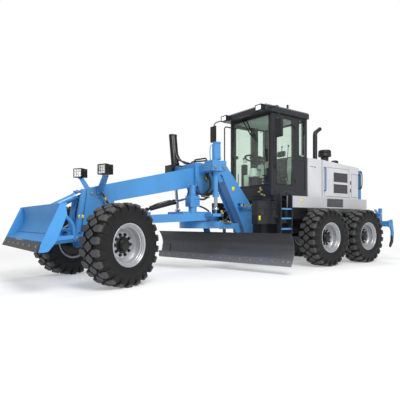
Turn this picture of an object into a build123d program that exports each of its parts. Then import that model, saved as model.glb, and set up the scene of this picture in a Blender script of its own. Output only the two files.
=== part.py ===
from build123d import *
import os
from math import atan2, cos, degrees, pi, radians, sin, sqrt

# Motor grader, millimetres. +X forward, +Y left, +Z up, wheels on z = 0.
# Everything is laid out from the point on the ground midway between the two tandem axles;
# the finished solids then move along X so that the origin is under the middle of the length.

os.makedirs("parts", exist_ok=True)

# ---------------------------------------------------------------- driving dimensions
WHEELBASE = 6050.0        # front axle to tandem centre
TANDEM = 1540.0           # spacing of the two rear axles
TRACK = 2150.0            # between the wheels' centre planes
ARTIC_X = 1950.0          # frame hinge
CIRCLE_X = 3570.0         # middle of the turning circle
LIFT_X = CIRCLE_X + 170   # blade lift cylinders
STEER_REST = 17.5         # degrees to the left, as parked
KINGPIN_Y = 800.0
SPINDLE = TRACK / 2 - KINGPIN_Y

GAP = 0.3                 # seat clearance between pieces of different nodes
RUN = 0.05                # radial running clearance of pins and rods

TYRE_D = 1350.0
TYRE_W = 445.0
TYRE_LUGS = 20            # on each side of the tread
LUG_H = 27.0
LUG_TOP = 84.0            # lug's width round the tyre, at its top and foot
LUG_FOOT = 128.0
LUG_INNER = 60.0          # from the tyre's middle to the lug's ends
LUG_OUTER = 176.0
RIM_D = 635.0             # bead seat
FLANGE_D = 700.0
RIM_W = 400.0
RIM_WALL = 12.0
HUB_D = 240.0
HUB_OUT = 90.0            # hub's nose beyond the wheel's centre plane
HUB_BACK = 60.0           # hub's back face inside it
STUB_R = 55.0             # axle stub in the hub
BOLT_CIRCLE_D = 335.0
BOLTS = 10
AXLE_Z = TYRE_D / 2

CAB_X = (934.0, 2156.0)
CAB_HALF_W = 700.0
CAB_Z = (1640.0, 3510.0)
WALL = 45.0
PILLAR = 70.0
DOOR_X = (1366.0, 2090.0)
DOOR_Z = (1740.0, 3480.0)
ROOF_X = (900.0, 2375.0)
ROOF_HALF_W = 750.0
ROOF_T = 150.0
GLASS_T = 8.0
DOOR_T = 40.0

HOOD_X = (-1465.0, 800.0)
HOOD_HALF_W = 620.0
HOOD_TOP = (2523.0, 2610.0)   # at the rear and at the front
HOOD_SEAM_X = 254.0           # between the sloping lid and the level front column
HOOD_BASE_Z = 1640.0
HOOD_SKIRT = 350.0
HOOD_T = 12.0
DECK_X = (-1380.0, 1650.0)
DECK_Y = 840.0
DECK_Z = (1375.0, HOOD_BASE_Z)

RAIL_Y = 400.0
RAIL_W = 90.0
RAIL_Z = (760.0, 1120.0)
RAIL_X = (-1900.0, 1700.0)

BEAM_HALF_W = 150.0
LEG_T = 35.0
CIRCLE_R = 490.0
CIRCLE_Z = (905.0, 1050.0)
CIRCLE_PIN_R = 60.0
BALL = (WHEELBASE - 450.0, 0.0, 1050.0)
BALL_D = 120.0
PLATE_Z = (1160.0, 1200.0)
LIFT_EYE = (LIFT_X, 700.0, 1285.0)

BLADE_L = 3700.0
BLADE_H = 620.0
BLADE_T = 20.0
BLADE_R = 450.0
BLADE_BACK = 370.0        # blade's edges behind the circle's centre
BLADE_Z = 175.0           # bottom of the cutting edge, raised
BLADE_YAW = 12.5          # degrees, right end forward
BLADE_SHIFT = 97.0        # along the blade to its left, as parked
EDGE_H = 150.0
EDGE_T = 16.0
BLADE_ARM_Y = 420.0       # circle's arms, from the middle
TILT_PIVOT = (-700.0, 430.0)   # behind the circle's centre, height

BUCKET_HALF_W = 1210.0
BUCKET_TIP = (WHEELBASE + 1250.0, 610.0)
BUCKET_TOP = (WHEELBASE + 900.0, 1340.0)
BUCKET_BACK = (WHEELBASE + 852.0, 990.0)
BUCKET_EDGE = 150.0
BUCKET_WALL = 20.0
ARM_PIN = (WHEELBASE + 400.0, 770.0)
ARM_Y = 330.0

RIPPER_PIN = (-2080.0, 1000.0)
RIPPER_BEAM_X = -2560.0
RIPPER_HALF_W = 860.0
RIPPER_ARM_Y = 400.0
SHANK_BACK = 230.0        # furthest back of a shank, from the beam's middle
SHANKS = 5

X_MID = (BUCKET_TIP[0] + RIPPER_BEAM_X - SHANK_BACK) / 2 + 10.0

parts = {}


# ---------------------------------------------------------------- helpers
def block(x, y, z):
    """Box between low and high values on each axis."""
    size = [b - a for a, b in (x, y, z)]
    mid = [(a + b) / 2 for a, b in (x, y, z)]
    return Pos(*mid) * Box(*size)


def side_plate(outline, y):
    """Flat plate whose outline is given in X and Z, between two Y values."""
    face = make_face(Polyline(*[(px, y[0], pz) for px, pz in outline], close=True))
    return extrude(face, amount=y[1] - y[0], dir=(0, 1, 0))


def top_plate(outline, z):
    """Flat plate whose outline is given in X and Y, between two Z values."""
    face = make_face(Polyline(*[(px, py, z[0]) for px, py in outline], close=True))
    return extrude(face, amount=z[1] - z[0], dir=(0, 0, 1))


def from_x(x0, outline):
    """The same outline with its first numbers counted from x0."""
    return [(x0 + dx, z) for dx, z in outline]


def bar(p, q, d):
    """Round bar between two points."""
    way = Vector(*q) - Vector(*p)
    rod = Cylinder(d / 2, way.length, align=(Align.CENTER, Align.CENTER, Align.MIN))
    return Plane(origin=p, z_dir=way) * rod


def beam(p, q, wide, high):
    """Straight box beam between two points; wide is measured level."""
    way = Vector(*q) - Vector(*p)
    level = Vector(-way.Y, way.X, 0) if way.X or way.Y else Vector(0, 1, 0)
    base = Plane(origin=p, x_dir=level, z_dir=way)
    return base * Box(wide, high, way.length, align=(Align.CENTER, Align.CENTER, Align.MIN))


def bent_tube(points, d, radius):
    """Round tube or hose with tangent bends."""
    path = FilletPolyline(*points, radius=radius)
    return sweep(Plane(origin=path @ 0, z_dir=path % 0) * Circle(d / 2), path=path)


def across(p, r, length):
    """Cylinder whose axis runs across the machine through p."""
    return Plane(origin=p, z_dir=(0, 1, 0)) * Cylinder(r, length)


def both_sides(piece):
    return [piece, mirror(piece, about=Plane.XZ)]


def flat_list(pieces):
    whole = []
    for piece in pieces:
        whole += flat_list(piece) if isinstance(piece, (list, tuple)) else [piece]
    return whole


def fuse(*pieces):
    first, *rest = flat_list(pieces)
    for piece in rest:
        first = first + piece
    return first


def keep(name, *pieces):
    """Store a node, moved so that the origin is under the machine's middle."""
    solids = [solid for piece in flat_list(pieces) for solid in piece.solids()]
    parts[name] = Compound(children=[Pos(-X_MID, 0, 0) * solid for solid in solids])


def ring_profile(points):
    """Revolve an outline of (radius, distance along the axle) about the axle, Y."""
    face = make_face(Polyline(*[(r, a, 0) for r, a in points], close=True))
    return revolve(face, Axis.Y, 360)


def flat_solid(faces):
    """Solid bounded by flat faces, each given by its corners."""
    return Solid(Shell([Face(Wire.make_polygon([Vector(*p) for p in face], close=True)) for face in faces]))


# ---------------------------------------------------------------- wheels
def tyre():
    """Flat-sided ring with a lug on each flat, at both shoulders; outboard is +Y, one flat is down."""
    half_step = pi / TYRE_LUGS
    tread = TYRE_D / 2 - LUG_H
    half = TYRE_W / 2
    bead = RIM_D / 2 + GAP
    seat = RIM_W / 2 - RIM_WALL - 2
    lip = FLANGE_D / 2 + 8
    shoulder = half - 16
    outline = [(-seat, bead), (-seat, lip), (-half, lip + 202), (-shoulder, tread),
               (shoulder, tread), (half, lip + 202), (seat, lip), (seat, bead)]
    faces = []
    for i, (a0, r0) in enumerate(outline):
        a1, r1 = outline[(i + 1) % len(outline)]
        for k in range(TYRE_LUGS):
            middle = 2 * half_step * k - pi / 2
            face = [(r / cos(half_step) * cos(middle + turn), a, r / cos(half_step) * sin(middle + turn))
                    for a, r, turn in ((a0, r0, -half_step), (a0, r0, half_step),
                                       (a1, r1, half_step), (a1, r1, -half_step))]
            faces.append(face)
    sunk = 8.0
    lugs = []
    for side in (1, -1):
        foot = [(dx, side * a, -tread + sunk) for dx, a in
                ((-LUG_FOOT / 2, LUG_INNER - 4), (LUG_FOOT / 2, LUG_INNER - 4),
                 (LUG_FOOT / 2, shoulder - 0.5), (-LUG_FOOT / 2, shoulder - 0.5))]
        top = [(dx, side * a, -TYRE_D / 2) for dx, a in
               ((-LUG_TOP / 2, LUG_INNER), (LUG_TOP / 2, LUG_INNER),
                (LUG_TOP / 2, LUG_OUTER), (-LUG_TOP / 2, LUG_OUTER))]
        sides = [[foot[i], foot[(i + 1) % 4], top[(i + 1) % 4], top[i]] for i in range(4)]
        lug = flat_solid([foot, top] + sides)
        lugs += [Rot(Y=degrees(2 * half_step * k)) * lug for k in range(TYRE_LUGS)]
    return flat_solid(faces).fuse(*lugs)


def rim():
    """Steel rim with flanges, a deep dish and the hub with its ring of bolts."""
    seat, lip = RIM_D / 2, FLANGE_D / 2
    half = RIM_W / 2
    inner = seat - RIM_WALL
    barrel = ring_profile([(inner, -half), (lip, -half), (lip, -half + RIM_WALL), (seat, -half + RIM_WALL),
                           (seat, half - RIM_WALL), (lip, half - RIM_WALL), (lip, half), (inner, half)])
    disc = ring_profile([(0, -35), (inner + 1, -10), (inner + 1, 10), (BOLT_CIRCLE_D / 2 + 40, -15), (0, -15)])
    hub = ring_profile([(0, -HUB_BACK), (HUB_D / 2 + 20, -HUB_BACK), (HUB_D / 2 + 20, 20), (HUB_D / 2, 40),
                        (HUB_D / 2 - 30, HUB_OUT), (0, HUB_OUT)])
    turns = [2 * pi / BOLTS * i for i in range(BOLTS)]
    bolts = [Pos(BOLT_CIRCLE_D / 2 * cos(a), 0, BOLT_CIRCLE_D / 2 * sin(a)) * Rot(X=90) * Cylinder(15, 70)
             for a in turns]
    shaft = bar((0, -HUB_BACK - 10, 0), (0, 0, 0), 2 * (STUB_R + RUN))
    return fuse(barrel, disc, hub, bolts) - shaft


TYRE = tyre()
RIM = rim()
SPINDLE_X = SPINDLE * sin(radians(STEER_REST))
SPINDLE_Y = SPINDLE * cos(radians(STEER_REST))
WHEELS = (                # name, centre X, centre Y, steer in degrees
    ("fl", WHEELBASE - SPINDLE_X, KINGPIN_Y + SPINDLE_Y, STEER_REST),
    ("fr", WHEELBASE + SPINDLE_X, -KINGPIN_Y - SPINDLE_Y, STEER_REST + 180),
    ("ml", TANDEM / 2, TRACK / 2, 0),
    ("mr", TANDEM / 2, -TRACK / 2, 180),
    ("rl", -TANDEM / 2, TRACK / 2, 0),
    ("rr", -TANDEM / 2, -TRACK / 2, 180),
)
for key, x, y, turn in WHEELS:
    place = Pos(x, y, AXLE_Z) * Rot(Z=turn)
    keep(f"tyre_{key}", place * TYRE)
    keep(f"rim_{key}", place * RIM)


# ---------------------------------------------------------------- hydraulic cylinders' pieces
def disc_at(p, axis, r, width):
    return Plane(origin=p, z_dir=axis) * Cylinder(r, width)


def hydraulic(base, end, barrel_d, rod_d, gland_at, axis, eye_r, eye_w, pin_d, rod_hinged=False):
    """Barrel with its eye at base and rod with its eye at end, both on one line.

    gland_at is the barrel's mouth from base. The eye that turns on a pin is bored; the other
    one is plain, between two ears that carry only the ends of its pin.
    """
    way = (Vector(*end) - Vector(*base)).normalized()
    start = Vector(*base) + way * (eye_r + 28)
    gland = Vector(*base) + way * gland_at
    bottom = start + way * 25
    barrel = bar(start, gland, barrel_d) + bar(gland - way * 60, gland, barrel_d + 10)
    barrel += bar(Vector(*base), start + way, eye_w * 0.8)
    barrel += disc_at(base, axis, eye_r, eye_w)
    barrel -= bar(bottom, gland + way, rod_d + 2 * RUN)
    rod = bar(bottom + way * (gland_at * 0.35), Vector(*end) - way * (eye_r * 0.8), rod_d)
    rod += disc_at(end, axis, eye_r, eye_w)
    if rod_hinged:
        rod -= disc_at(end, axis, pin_d / 2 + RUN, eye_w + 2)
    else:
        barrel -= disc_at(base, axis, pin_d / 2 + RUN, eye_w + 2)
    return barrel, rod


def clevis(p, root, axis, eye_w, r, thick, pin_d):
    """Two ears from a root point to a pin at p, with the pin across them."""
    a = Vector(*axis).normalized()
    way = Vector(*p) - Vector(*root)
    way = way - a * way.dot(a)
    ears = []
    for s in (-1, 1):
        shift = a * (s * (eye_w / 2 + 1.0 + thick / 2))
        slab = Plane(origin=Vector(*p) - way / 2 + shift, x_dir=way, z_dir=a) * Box(way.length, 2 * r, thick)
        ears.append(slab + disc_at(Vector(*p) + shift, a, r, thick))
    return fuse(ears, disc_at(p, a, pin_d / 2, eye_w + 2 * thick + 22))


def open_clevis(p, root, axis, eye_w, r, thick, pin_d):
    """Ears of a plain eye: the pin shows outside the ears and stays clear of the eye."""
    return clevis(p, root, axis, eye_w, r, thick, pin_d) - disc_at(p, axis, r * 1.6, eye_w + 2.0)


def swing_axis(base, eye, centre):
    """Axis at base about which an eye swings when it turns crosswise round centre."""
    path = (Vector(*eye) - Vector(*centre)).cross(Vector(0, 1, 0))
    return (Vector(*eye) - Vector(*base)).cross(path).normalized()


STEER_CYL_BASE = (1560.0, 430.0, 1420.0)
STEER_CYL_EYE = (ARTIC_X + 700.0, 280.0, 1420.0)
SHIFT_CYL_BASE = (LIFT_X + 140.0, -50.0, 1550.0)
SHIFT_CYL_EYE = (CIRCLE_X + 1230.0, -215.0, 1295.0)
SHIFT_AXIS = swing_axis(SHIFT_CYL_BASE, SHIFT_CYL_EYE, BALL)
BUCKET_CYL_BASE = (WHEELBASE + 110.0, 0.0, 1590.0)
BUCKET_CYL_EYE = (WHEELBASE + 750.0, 0.0, 1270.0)
RIPPER_CYL_BASE = (-2060.0, 0.0, 1240.0)
RIPPER_CYL_EYE = (-2500.0, 0.0, 1150.0)

# ---------------------------------------------------------------- rear frame and tandems
TANDEM_Y = (640.0, 800.0)
CASE_HALF_H = 160.0
CASE_END_R = 200.0
PLATFORM_X = (860.0, 2150.0)
PLATFORM_T = 100.0
HEAD_X = 1540.0
HINGE_EAR_R = 110.0
HINGE_EAR_Z = ((560.0, 620.0), (1000.0, 1060.0))
HINGE_PIN_D = 90.0
HINGE_Z = sum(HINGE_EAR_Z[0] + HINGE_EAR_Z[1]) / 4
TAIL_X = RAIL_X[0] - 90
BOX_X = (2080.0, 2680.0)
BOX_Y = (620.0, 800.0)
BOX_Z = (1000.0, 1500.0)
TANK_X = (900.0, 1700.0)
TANK_Y = (500.0, 700.0)
OUTRIGGER_Z = (1010.0, 1110.0)
TANK_Z = (OUTRIGGER_Z[1] + GAP, DECK_Z[0] - GAP)
TOW_Z = 640.0
TOW_HOLE_R = 21.0
TOW_GAP = 60.0
TOW_T = 30.0

frame = both_sides(block(RAIL_X, (RAIL_Y - RAIL_W / 2, RAIL_Y + RAIL_W / 2), RAIL_Z))
frame += [block((x, x + 160), (-RAIL_Y, RAIL_Y), RAIL_Z) for x in (RAIL_X[0], -700.0, 560.0)]
frame.append(block((HEAD_X, RAIL_X[1]), (-RAIL_Y, RAIL_Y), (HINGE_EAR_Z[0][0] - 20, RAIL_Z[1])))
for z in HINGE_EAR_Z:
    ear = top_plate([(RAIL_X[1], -2 * HINGE_EAR_R), (ARTIC_X, -HINGE_EAR_R), (ARTIC_X, HINGE_EAR_R),
                     (RAIL_X[1], 2 * HINGE_EAR_R)], z)
    frame.append(ear + Pos(ARTIC_X, 0, sum(z) / 2) * Cylinder(HINGE_EAR_R, z[1] - z[0]))
frame.append(Pos(ARTIC_X, 0, HINGE_Z) * Cylinder(HINGE_PIN_D / 2, HINGE_EAR_Z[1][1] - HINGE_EAR_Z[0][0] + 40))
platform_z = (CAB_Z[0] - GAP - PLATFORM_T, CAB_Z[0] - GAP)
frame.append(block(PLATFORM_X, (-HOOD_HALF_W, HOOD_HALF_W), platform_z))
POSTS = (                 # x low, x high, inner y, outer y, top: under the cab and under the hood
    (950.0, 1070.0, RAIL_Y - 60, RAIL_Y + 60, platform_z[0]),
    (1300.0, 1420.0, RAIL_Y - 60, RAIL_Y + 60, platform_z[0]),
    (-1300.0, -1210.0, RAIL_Y - 45, RAIL_Y + 45, 1300.0),
    (200.0, 290.0, RAIL_Y - 45, RAIL_Y + 45, 1300.0),
)
for x0, x1, y0, y1, top in POSTS:
    frame += both_sides(block((x0, x1), (y0, y1), (RAIL_Z[1], top)))
frame += both_sides(block((DECK_X[0] + 30, HOOD_X[1] - 20), (RAIL_Y - 45, HOOD_HALF_W - HOOD_T - GAP),
                          (1270.0, 1290.0)))
frame += both_sides(block((RAIL_X[1] - 120, BOX_X[0] - GAP), (540.0, 700.0), OUTRIGGER_Z)
                    + block((RAIL_X[1] - 120, RAIL_X[1]), (RAIL_Y, 700.0), OUTRIGGER_Z))
frame.append(block((TAIL_X, RAIL_X[0]), (-560.0, 560.0), (700.0, 1280.0)))
frame += both_sides(clevis((RIPPER_PIN[0], RIPPER_ARM_Y, RIPPER_PIN[1]), (TAIL_X, RIPPER_ARM_Y, RIPPER_PIN[1]),
                           (0, 1, 0), 60.0, 60.0, 25.0, 40.0))
frame.append(clevis(RIPPER_CYL_BASE, (TAIL_X + 5, 0.0, RIPPER_CYL_BASE[2]), (0, 1, 0), 50.0, 40.0, 18.0, 30.0))
steer_post_top = STEER_CYL_BASE[2] - 55
frame += both_sides(block((STEER_CYL_BASE[0] - 60, STEER_CYL_BASE[0] + 60),
                          (STEER_CYL_BASE[1] - 60, STEER_CYL_BASE[1] + 60), (RAIL_Z[1] - 1, steer_post_top))
                    + bar((STEER_CYL_BASE[0], STEER_CYL_BASE[1], steer_post_top - 5),
                          (STEER_CYL_BASE[0], STEER_CYL_BASE[1], STEER_CYL_BASE[2] + 40), 40))
tow_jaw = block((TAIL_X - 120, TAIL_X + 60), (-80, 80), (TOW_Z - TOW_GAP / 2 - TOW_T, TOW_Z + TOW_GAP / 2 + TOW_T))
tow_jaw += block((TAIL_X, TAIL_X + 60), (-80, 80), (TOW_Z, 701.0))
tow_jaw -= block((TAIL_X - 121, TAIL_X - 20), (-81, 81), (TOW_Z - TOW_GAP / 2, TOW_Z + TOW_GAP / 2))
tow_jaw -= Pos(TAIL_X - 70, 0, TOW_Z) * Cylinder(TOW_HOLE_R, 200)
frame.append(tow_jaw)
keep("rear_frame", fuse(frame))

case_mid_y = sum(TANDEM_Y) / 2
case_w = TANDEM_Y[1] - TANDEM_Y[0]
case = block((-TANDEM / 2, TANDEM / 2), TANDEM_Y, (AXLE_Z - CASE_HALF_H, AXLE_Z + CASE_HALF_H))
for x in (-TANDEM / 2, TANDEM / 2):
    case += across((x, case_mid_y, AXLE_Z), CASE_END_R, case_w)
    case += bar((x, TANDEM_Y[1] - 5, AXLE_Z), (x, TRACK / 2 - HUB_BACK - GAP, AXLE_Z), 220)
    case += bar((x, TANDEM_Y[1], AXLE_Z), (x, TRACK / 2 - 5, AXLE_Z), 2 * STUB_R)
axle_tube = across((0, 0, AXLE_Z), 85, 2 * TANDEM_Y[0] + 10)
final_drive = Pos(0, 0, AXLE_Z) * Cylinder(150, 2 * (RAIL_Z[0] - AXLE_Z - GAP))
keep("tandem_cases", fuse(both_sides(case), axle_tube, final_drive))

keep("engine", block((-1150.0, 100.0), (-330.0, 330.0), (RAIL_Z[1] + GAP, 2150.0)))
keep("side_boxes", both_sides(block(BOX_X, BOX_Y, BOX_Z)), both_sides(block(TANK_X, TANK_Y, TANK_Z)))

LADDER_X = (1805.0, 2160.0)
LADDER_Y = (900.0, 1000.0)
LADDER_Z = (770.0, 1605.0)
STEP_LEVELS = (883.0, 1115.0, 1325.0)
ladder_mid_y = sum(LADDER_Y) / 2
ladder_half = (LADDER_Y[1] - LADDER_Y[0]) / 2
ladder = []
for x in LADDER_X:
    ladder.append(block((x - 12, x + 12), LADDER_Y, LADDER_Z))
    ladder.append(Pos(x, ladder_mid_y, LADDER_Z[1]) * Rot(Y=90) * Cylinder(ladder_half, 24))
for z in STEP_LEVELS:
    ladder.append(block(LADDER_X, (LADDER_Y[0] + 5, LADDER_Y[1] - 5), (z - 14, z + 14)))
ladder.append(block((LADDER_X[0], BOX_X[0] - GAP), (700.0 + GAP, LADDER_Y[0] + 10), (1020.0, 1100.0)))
keep("ladders", both_sides(fuse(ladder)))

# ---------------------------------------------------------------- hood
def hood_outline(t):
    """Hood's side outline, drawn in by t."""
    back, front = HOOD_X
    low = HOOD_BASE_Z - HOOD_SKIRT
    return [(back + t, low), (front - t, low), (front - t, HOOD_TOP[1] - t), (HOOD_SEAM_X, HOOD_TOP[1] - t),
            (back + 145 + t / 2, HOOD_TOP[0] - t), (back + t, HOOD_TOP[0] - 110 - t / 2)]


def hood_top_z(x):
    """Height of the hood's lid at x."""
    slope = (HOOD_TOP[1] - HOOD_TOP[0]) / (HOOD_SEAM_X - HOOD_X[0] - 145)
    return HOOD_TOP[1] - max(0.0, HOOD_SEAM_X - x) * slope


def grille(width, height):
    """Upright panel across X with slots between bars and one level tie."""
    border, slot, pitch = 26.0, 26.0, 38.0
    panel = Box(width, 8, height)
    count = int((width - 2 * border) // pitch)
    for i in range(count):
        x = (i - (count - 1) / 2) * pitch
        for z0, z1 in ((-height / 2 + border, -8), (8, height / 2 - border)):
            panel -= Pos(x, 0, (z0 + z1) / 2) * Box(slot, 10, z1 - z0)
    return panel


GRILLES = (               # x low, x high, z low, z high, outer face
    (-833.0, -220.0, 2080.0, 2325.0, HOOD_HALF_W),
    (-833.0, -220.0, 1787.0, 2024.0, HOOD_HALF_W),
    (-311.0, 348.0, 1405.0, 1612.0, DECK_Y),
)
REAR_GRILLE = (450.0, 1760.0, 2330.0)   # half width, z low, z high
hood = side_plate(hood_outline(0), (-HOOD_HALF_W, HOOD_HALF_W))
hood -= side_plate(hood_outline(HOOD_T), (-HOOD_HALF_W + HOOD_T, HOOD_HALF_W - HOOD_T))
deck = block(DECK_X, (HOOD_HALF_W - 1, DECK_Y), DECK_Z)
deck -= block((DECK_X[0] + HOOD_T, DECK_X[1] - HOOD_T), (HOOD_HALF_W - 2, DECK_Y - HOOD_T),
              (DECK_Z[0] + HOOD_T, DECK_Z[1] - HOOD_T))
deck -= block((HOOD_X[1], DECK_X[1] + 1), (HOOD_HALF_W - 2, CAB_HALF_W + GAP), (DECK_Z[0] - 1, DECK_Z[1] + 1))
deck += block((HOOD_X[1] - HOOD_T, DECK_X[1]), (CAB_HALF_W + GAP, CAB_HALF_W + GAP + HOOD_T), DECK_Z)
deck += block((HOOD_X[1] - HOOD_T, HOOD_X[1]), (HOOD_HALF_W - 1, CAB_HALF_W + HOOD_T), DECK_Z)
hood = fuse(hood, both_sides(deck))
screens = []
for x0, x1, z0, z1, face in GRILLES:
    mid = ((x0 + x1) / 2, (z0 + z1) / 2)
    cut = Pos(mid[0], face - HOOD_T / 2, mid[1]) * Box(x1 - x0, HOOD_T + 6, z1 - z0)
    for side in both_sides(cut):
        hood -= side
    screens += both_sides(Pos(mid[0], face - HOOD_T / 2, mid[1]) * grille(x1 - x0 - 2 * GAP, z1 - z0 - 2 * GAP))
half, z0, z1 = REAR_GRILLE
hood -= Pos(HOOD_X[0] + HOOD_T / 2, 0, (z0 + z1) / 2) * Box(HOOD_T + 6, 2 * half, z1 - z0)
screens.append(Pos(HOOD_X[0] + HOOD_T / 2, 0, (z0 + z1) / 2) * Rot(Z=90)
               * grille(2 * half - 2 * GAP, z1 - z0 - 2 * GAP))
for s in (1, -1):
    hood -= Pos(HOOD_SEAM_X, s * HOOD_HALF_W, (HOOD_BASE_Z + HOOD_TOP[1]) / 2) * Box(8, 8, 960)
keep("hood", hood)
keep("grilles", screens)

HOOD_RAILS = (            # x, z low, z high
    (170.0, 1830.0, 2410.0),
    (-1340.0, 1950.0, 2330.0),
)
rails = []
for x, z0, z1 in HOOD_RAILS:
    near, far = HOOD_HALF_W + GAP, HOOD_HALF_W + 55
    rails += both_sides(bent_tube([(x, near, z0), (x, far, z0), (x, far, z1), (x, near, z1)], 28, 26))
keep("hood_rails", rails)

EXHAUST_X = -262.0
EXHAUST_D = 120.0
CLEANER_X = -760.0
CAP_X = -1223.0
lid_cutter = side_plate([(HOOD_X[0], 1700.0), (HOOD_X[1], 1700.0), (HOOD_X[1], HOOD_TOP[1] + GAP),
                         (HOOD_SEAM_X, HOOD_TOP[1] + GAP), (HOOD_X[0] + 145, HOOD_TOP[0] + GAP),
                         (HOOD_X[0], HOOD_TOP[0] + GAP - 9)], (-400, 400))
exhaust = bent_tube([(EXHAUST_X, 0, hood_top_z(EXHAUST_X) - 30), (EXHAUST_X, 0, 3395.0),
                     (EXHAUST_X - 215, 0, 3600.0)], EXHAUST_D, 130)
exhaust += Pos(EXHAUST_X, 0, hood_top_z(EXHAUST_X) + 30) * Cylinder(EXHAUST_D / 2 + 35, 90)
bowl = Pos(CLEANER_X, 0, hood_top_z(CLEANER_X)) * Rot(X=90) * ring_profile(
    [(0, -40), (110, -40), (110, 260), (150, 330), (232, 360), (240, 400), (240, 480), (215, 520),
     (155, 540), (155, 610), (130, 632), (0, 632)])
cap = Pos(CAP_X, 0, hood_top_z(CAP_X)) * Rot(X=90) * ring_profile(
    [(0, -40), (70, -40), (70, 150), (116, 160), (116, 235), (90, 262), (0, 262)])
keep("stacks", exhaust - lid_cutter, bowl - lid_cutter, cap - lid_cutter)

# ---------------------------------------------------------------- cab
PANE_OUT = WALL / 2 + GLASS_T / 2      # a pane's outer face inside the wall's outer face
PANE_IN = WALL / 2 - GLASS_T / 2
FRONT_WIN = ((-CAB_HALF_W + PILLAR, CAB_HALF_W - PILLAR), (1880.0, 3470.0))
REAR_WIN = ((-560.0, 560.0), (2660.0, 3460.0))
SIDE_WIN = ((CAB_X[0] + 73, DOOR_X[0] - 124), (2590.0, 3460.0))
SIDE_PANEL = ((CAB_X[0] + 73, DOOR_X[0] - 124), (1790.0, 2520.0))
FLOOR_Z = CAB_Z[0] + 60
HINGE_Y = CAB_HALF_W + 14
HINGE_LEVELS = (2000.0, 3250.0)
HINGE_R = 13.0
HINGE_PIN_R = 6.0

cab = block(CAB_X, (-CAB_HALF_W, CAB_HALF_W), CAB_Z)
cab -= block((CAB_X[0] + WALL, CAB_X[1] - WALL), (-CAB_HALF_W + WALL, CAB_HALF_W - WALL), (FLOOR_Z, CAB_Z[1] + 1))
cab -= block((CAB_X[1] - WALL - 1, CAB_X[1] + 1), *FRONT_WIN)
cab -= block((CAB_X[0] - 1, CAB_X[0] + WALL + 1), *REAR_WIN)
for x, z in (SIDE_WIN, (DOOR_X, DOOR_Z)):
    cab -= block(x, (-CAB_HALF_W - 1, CAB_HALF_W + 1), z)
for side in both_sides(block(SIDE_PANEL[0], (CAB_HALF_W - 12, CAB_HALF_W + 1), SIDE_PANEL[1])):
    cab -= side
for z in HINGE_LEVELS:
    knuckle_half = (Pos(DOOR_X[0], HINGE_Y, z) * Cylinder(HINGE_R, 40)
                    + block((DOOR_X[0] - 50, DOOR_X[0]), (CAB_HALF_W - 1, HINGE_Y), (z - 20, z + 20))
                    + Pos(DOOR_X[0], HINGE_Y, z + 40) * Cylinder(HINGE_PIN_R, 40))
    cab = fuse(cab, both_sides(knuckle_half))
keep("cab_frame", cab)

ROOF_Z = (CAB_Z[1] + GAP, CAB_Z[1] + ROOF_T)
roof = block(ROOF_X, (-ROOF_HALF_W, ROOF_HALF_W), ROOF_Z)
roof = chamfer(roof.edges().group_by(Axis.Z)[-1], 35)
roof = fillet(roof.edges().filter_by(Axis.Z), 30)
keep("cab_roof", roof)

(fy0, fy1), (fz0, fz1) = FRONT_WIN
(ry0, ry1), (rz0, rz1) = REAR_WIN
(sx0, sx1), (sz0, sz1) = SIDE_WIN
keep("cab_glass",
     block((CAB_X[1] - PANE_OUT, CAB_X[1] - PANE_IN), (fy0 + GAP, fy1 - GAP), (fz0 + GAP, fz1 - GAP)),
     block((CAB_X[0] + PANE_IN, CAB_X[0] + PANE_OUT), (ry0 + GAP, ry1 - GAP), (rz0 + GAP, rz1 - GAP)),
     both_sides(block((sx0 + GAP, sx1 - GAP), (CAB_HALF_W - PANE_OUT, CAB_HALF_W - PANE_IN),
                      (sz0 + GAP, sz1 - GAP))))

DOOR_GAP = 6.0
DOOR_STILE = 84.0
DOOR_RAIL = 50.0
DOOR_KICK = 146.0
door = block((DOOR_X[0] + DOOR_GAP, DOOR_X[1] - DOOR_GAP), (CAB_HALF_W - DOOR_T, CAB_HALF_W),
             (DOOR_Z[0] + DOOR_GAP, DOOR_Z[1] - DOOR_GAP))
PANE_X = (DOOR_X[0] + DOOR_GAP + DOOR_STILE, DOOR_X[1] - DOOR_GAP - DOOR_STILE)
PANE_Z = (DOOR_Z[0] + DOOR_GAP + DOOR_KICK, DOOR_Z[1] - DOOR_GAP - DOOR_RAIL)
door -= block(PANE_X, (0, CAB_HALF_W + 1), PANE_Z)
for z in HINGE_LEVELS:
    sleeve_z = (z + 20 + GAP, z + 50 + GAP)
    sleeve = Cylinder(HINGE_R, 30) - Cylinder(HINGE_PIN_R + RUN, 32)
    door = fuse(door, Pos(DOOR_X[0], HINGE_Y, sum(sleeve_z) / 2) * sleeve,
                block((DOOR_X[0] + 10, DOOR_X[0] + 60), (CAB_HALF_W - 1, HINGE_Y + 4), sleeve_z))
HANDLE_Z = (2330.0, 2500.0)
handle_x = DOOR_X[1] - DOOR_GAP - DOOR_STILE / 2
door += bent_tube([(handle_x, CAB_HALF_W - 5, HANDLE_Z[0]), (handle_x, CAB_HALF_W + 45, HANDLE_Z[0]),
                   (handle_x, CAB_HALF_W + 45, HANDLE_Z[1]), (handle_x, CAB_HALF_W - 5, HANDLE_Z[1])], 20, 20)
door_pane = block((PANE_X[0] + GAP, PANE_X[1] - GAP),
                  (CAB_HALF_W - DOOR_T / 2 - GLASS_T / 2, CAB_HALF_W - DOOR_T / 2 + GLASS_T / 2),
                  (PANE_Z[0] + GAP, PANE_Z[1] - GAP))
for name, piece, pane in zip(("left", "right"), both_sides(door), both_sides(door_pane)):
    keep(f"door_{name}", piece)
    keep(f"door_glass_{name}", pane)

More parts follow.
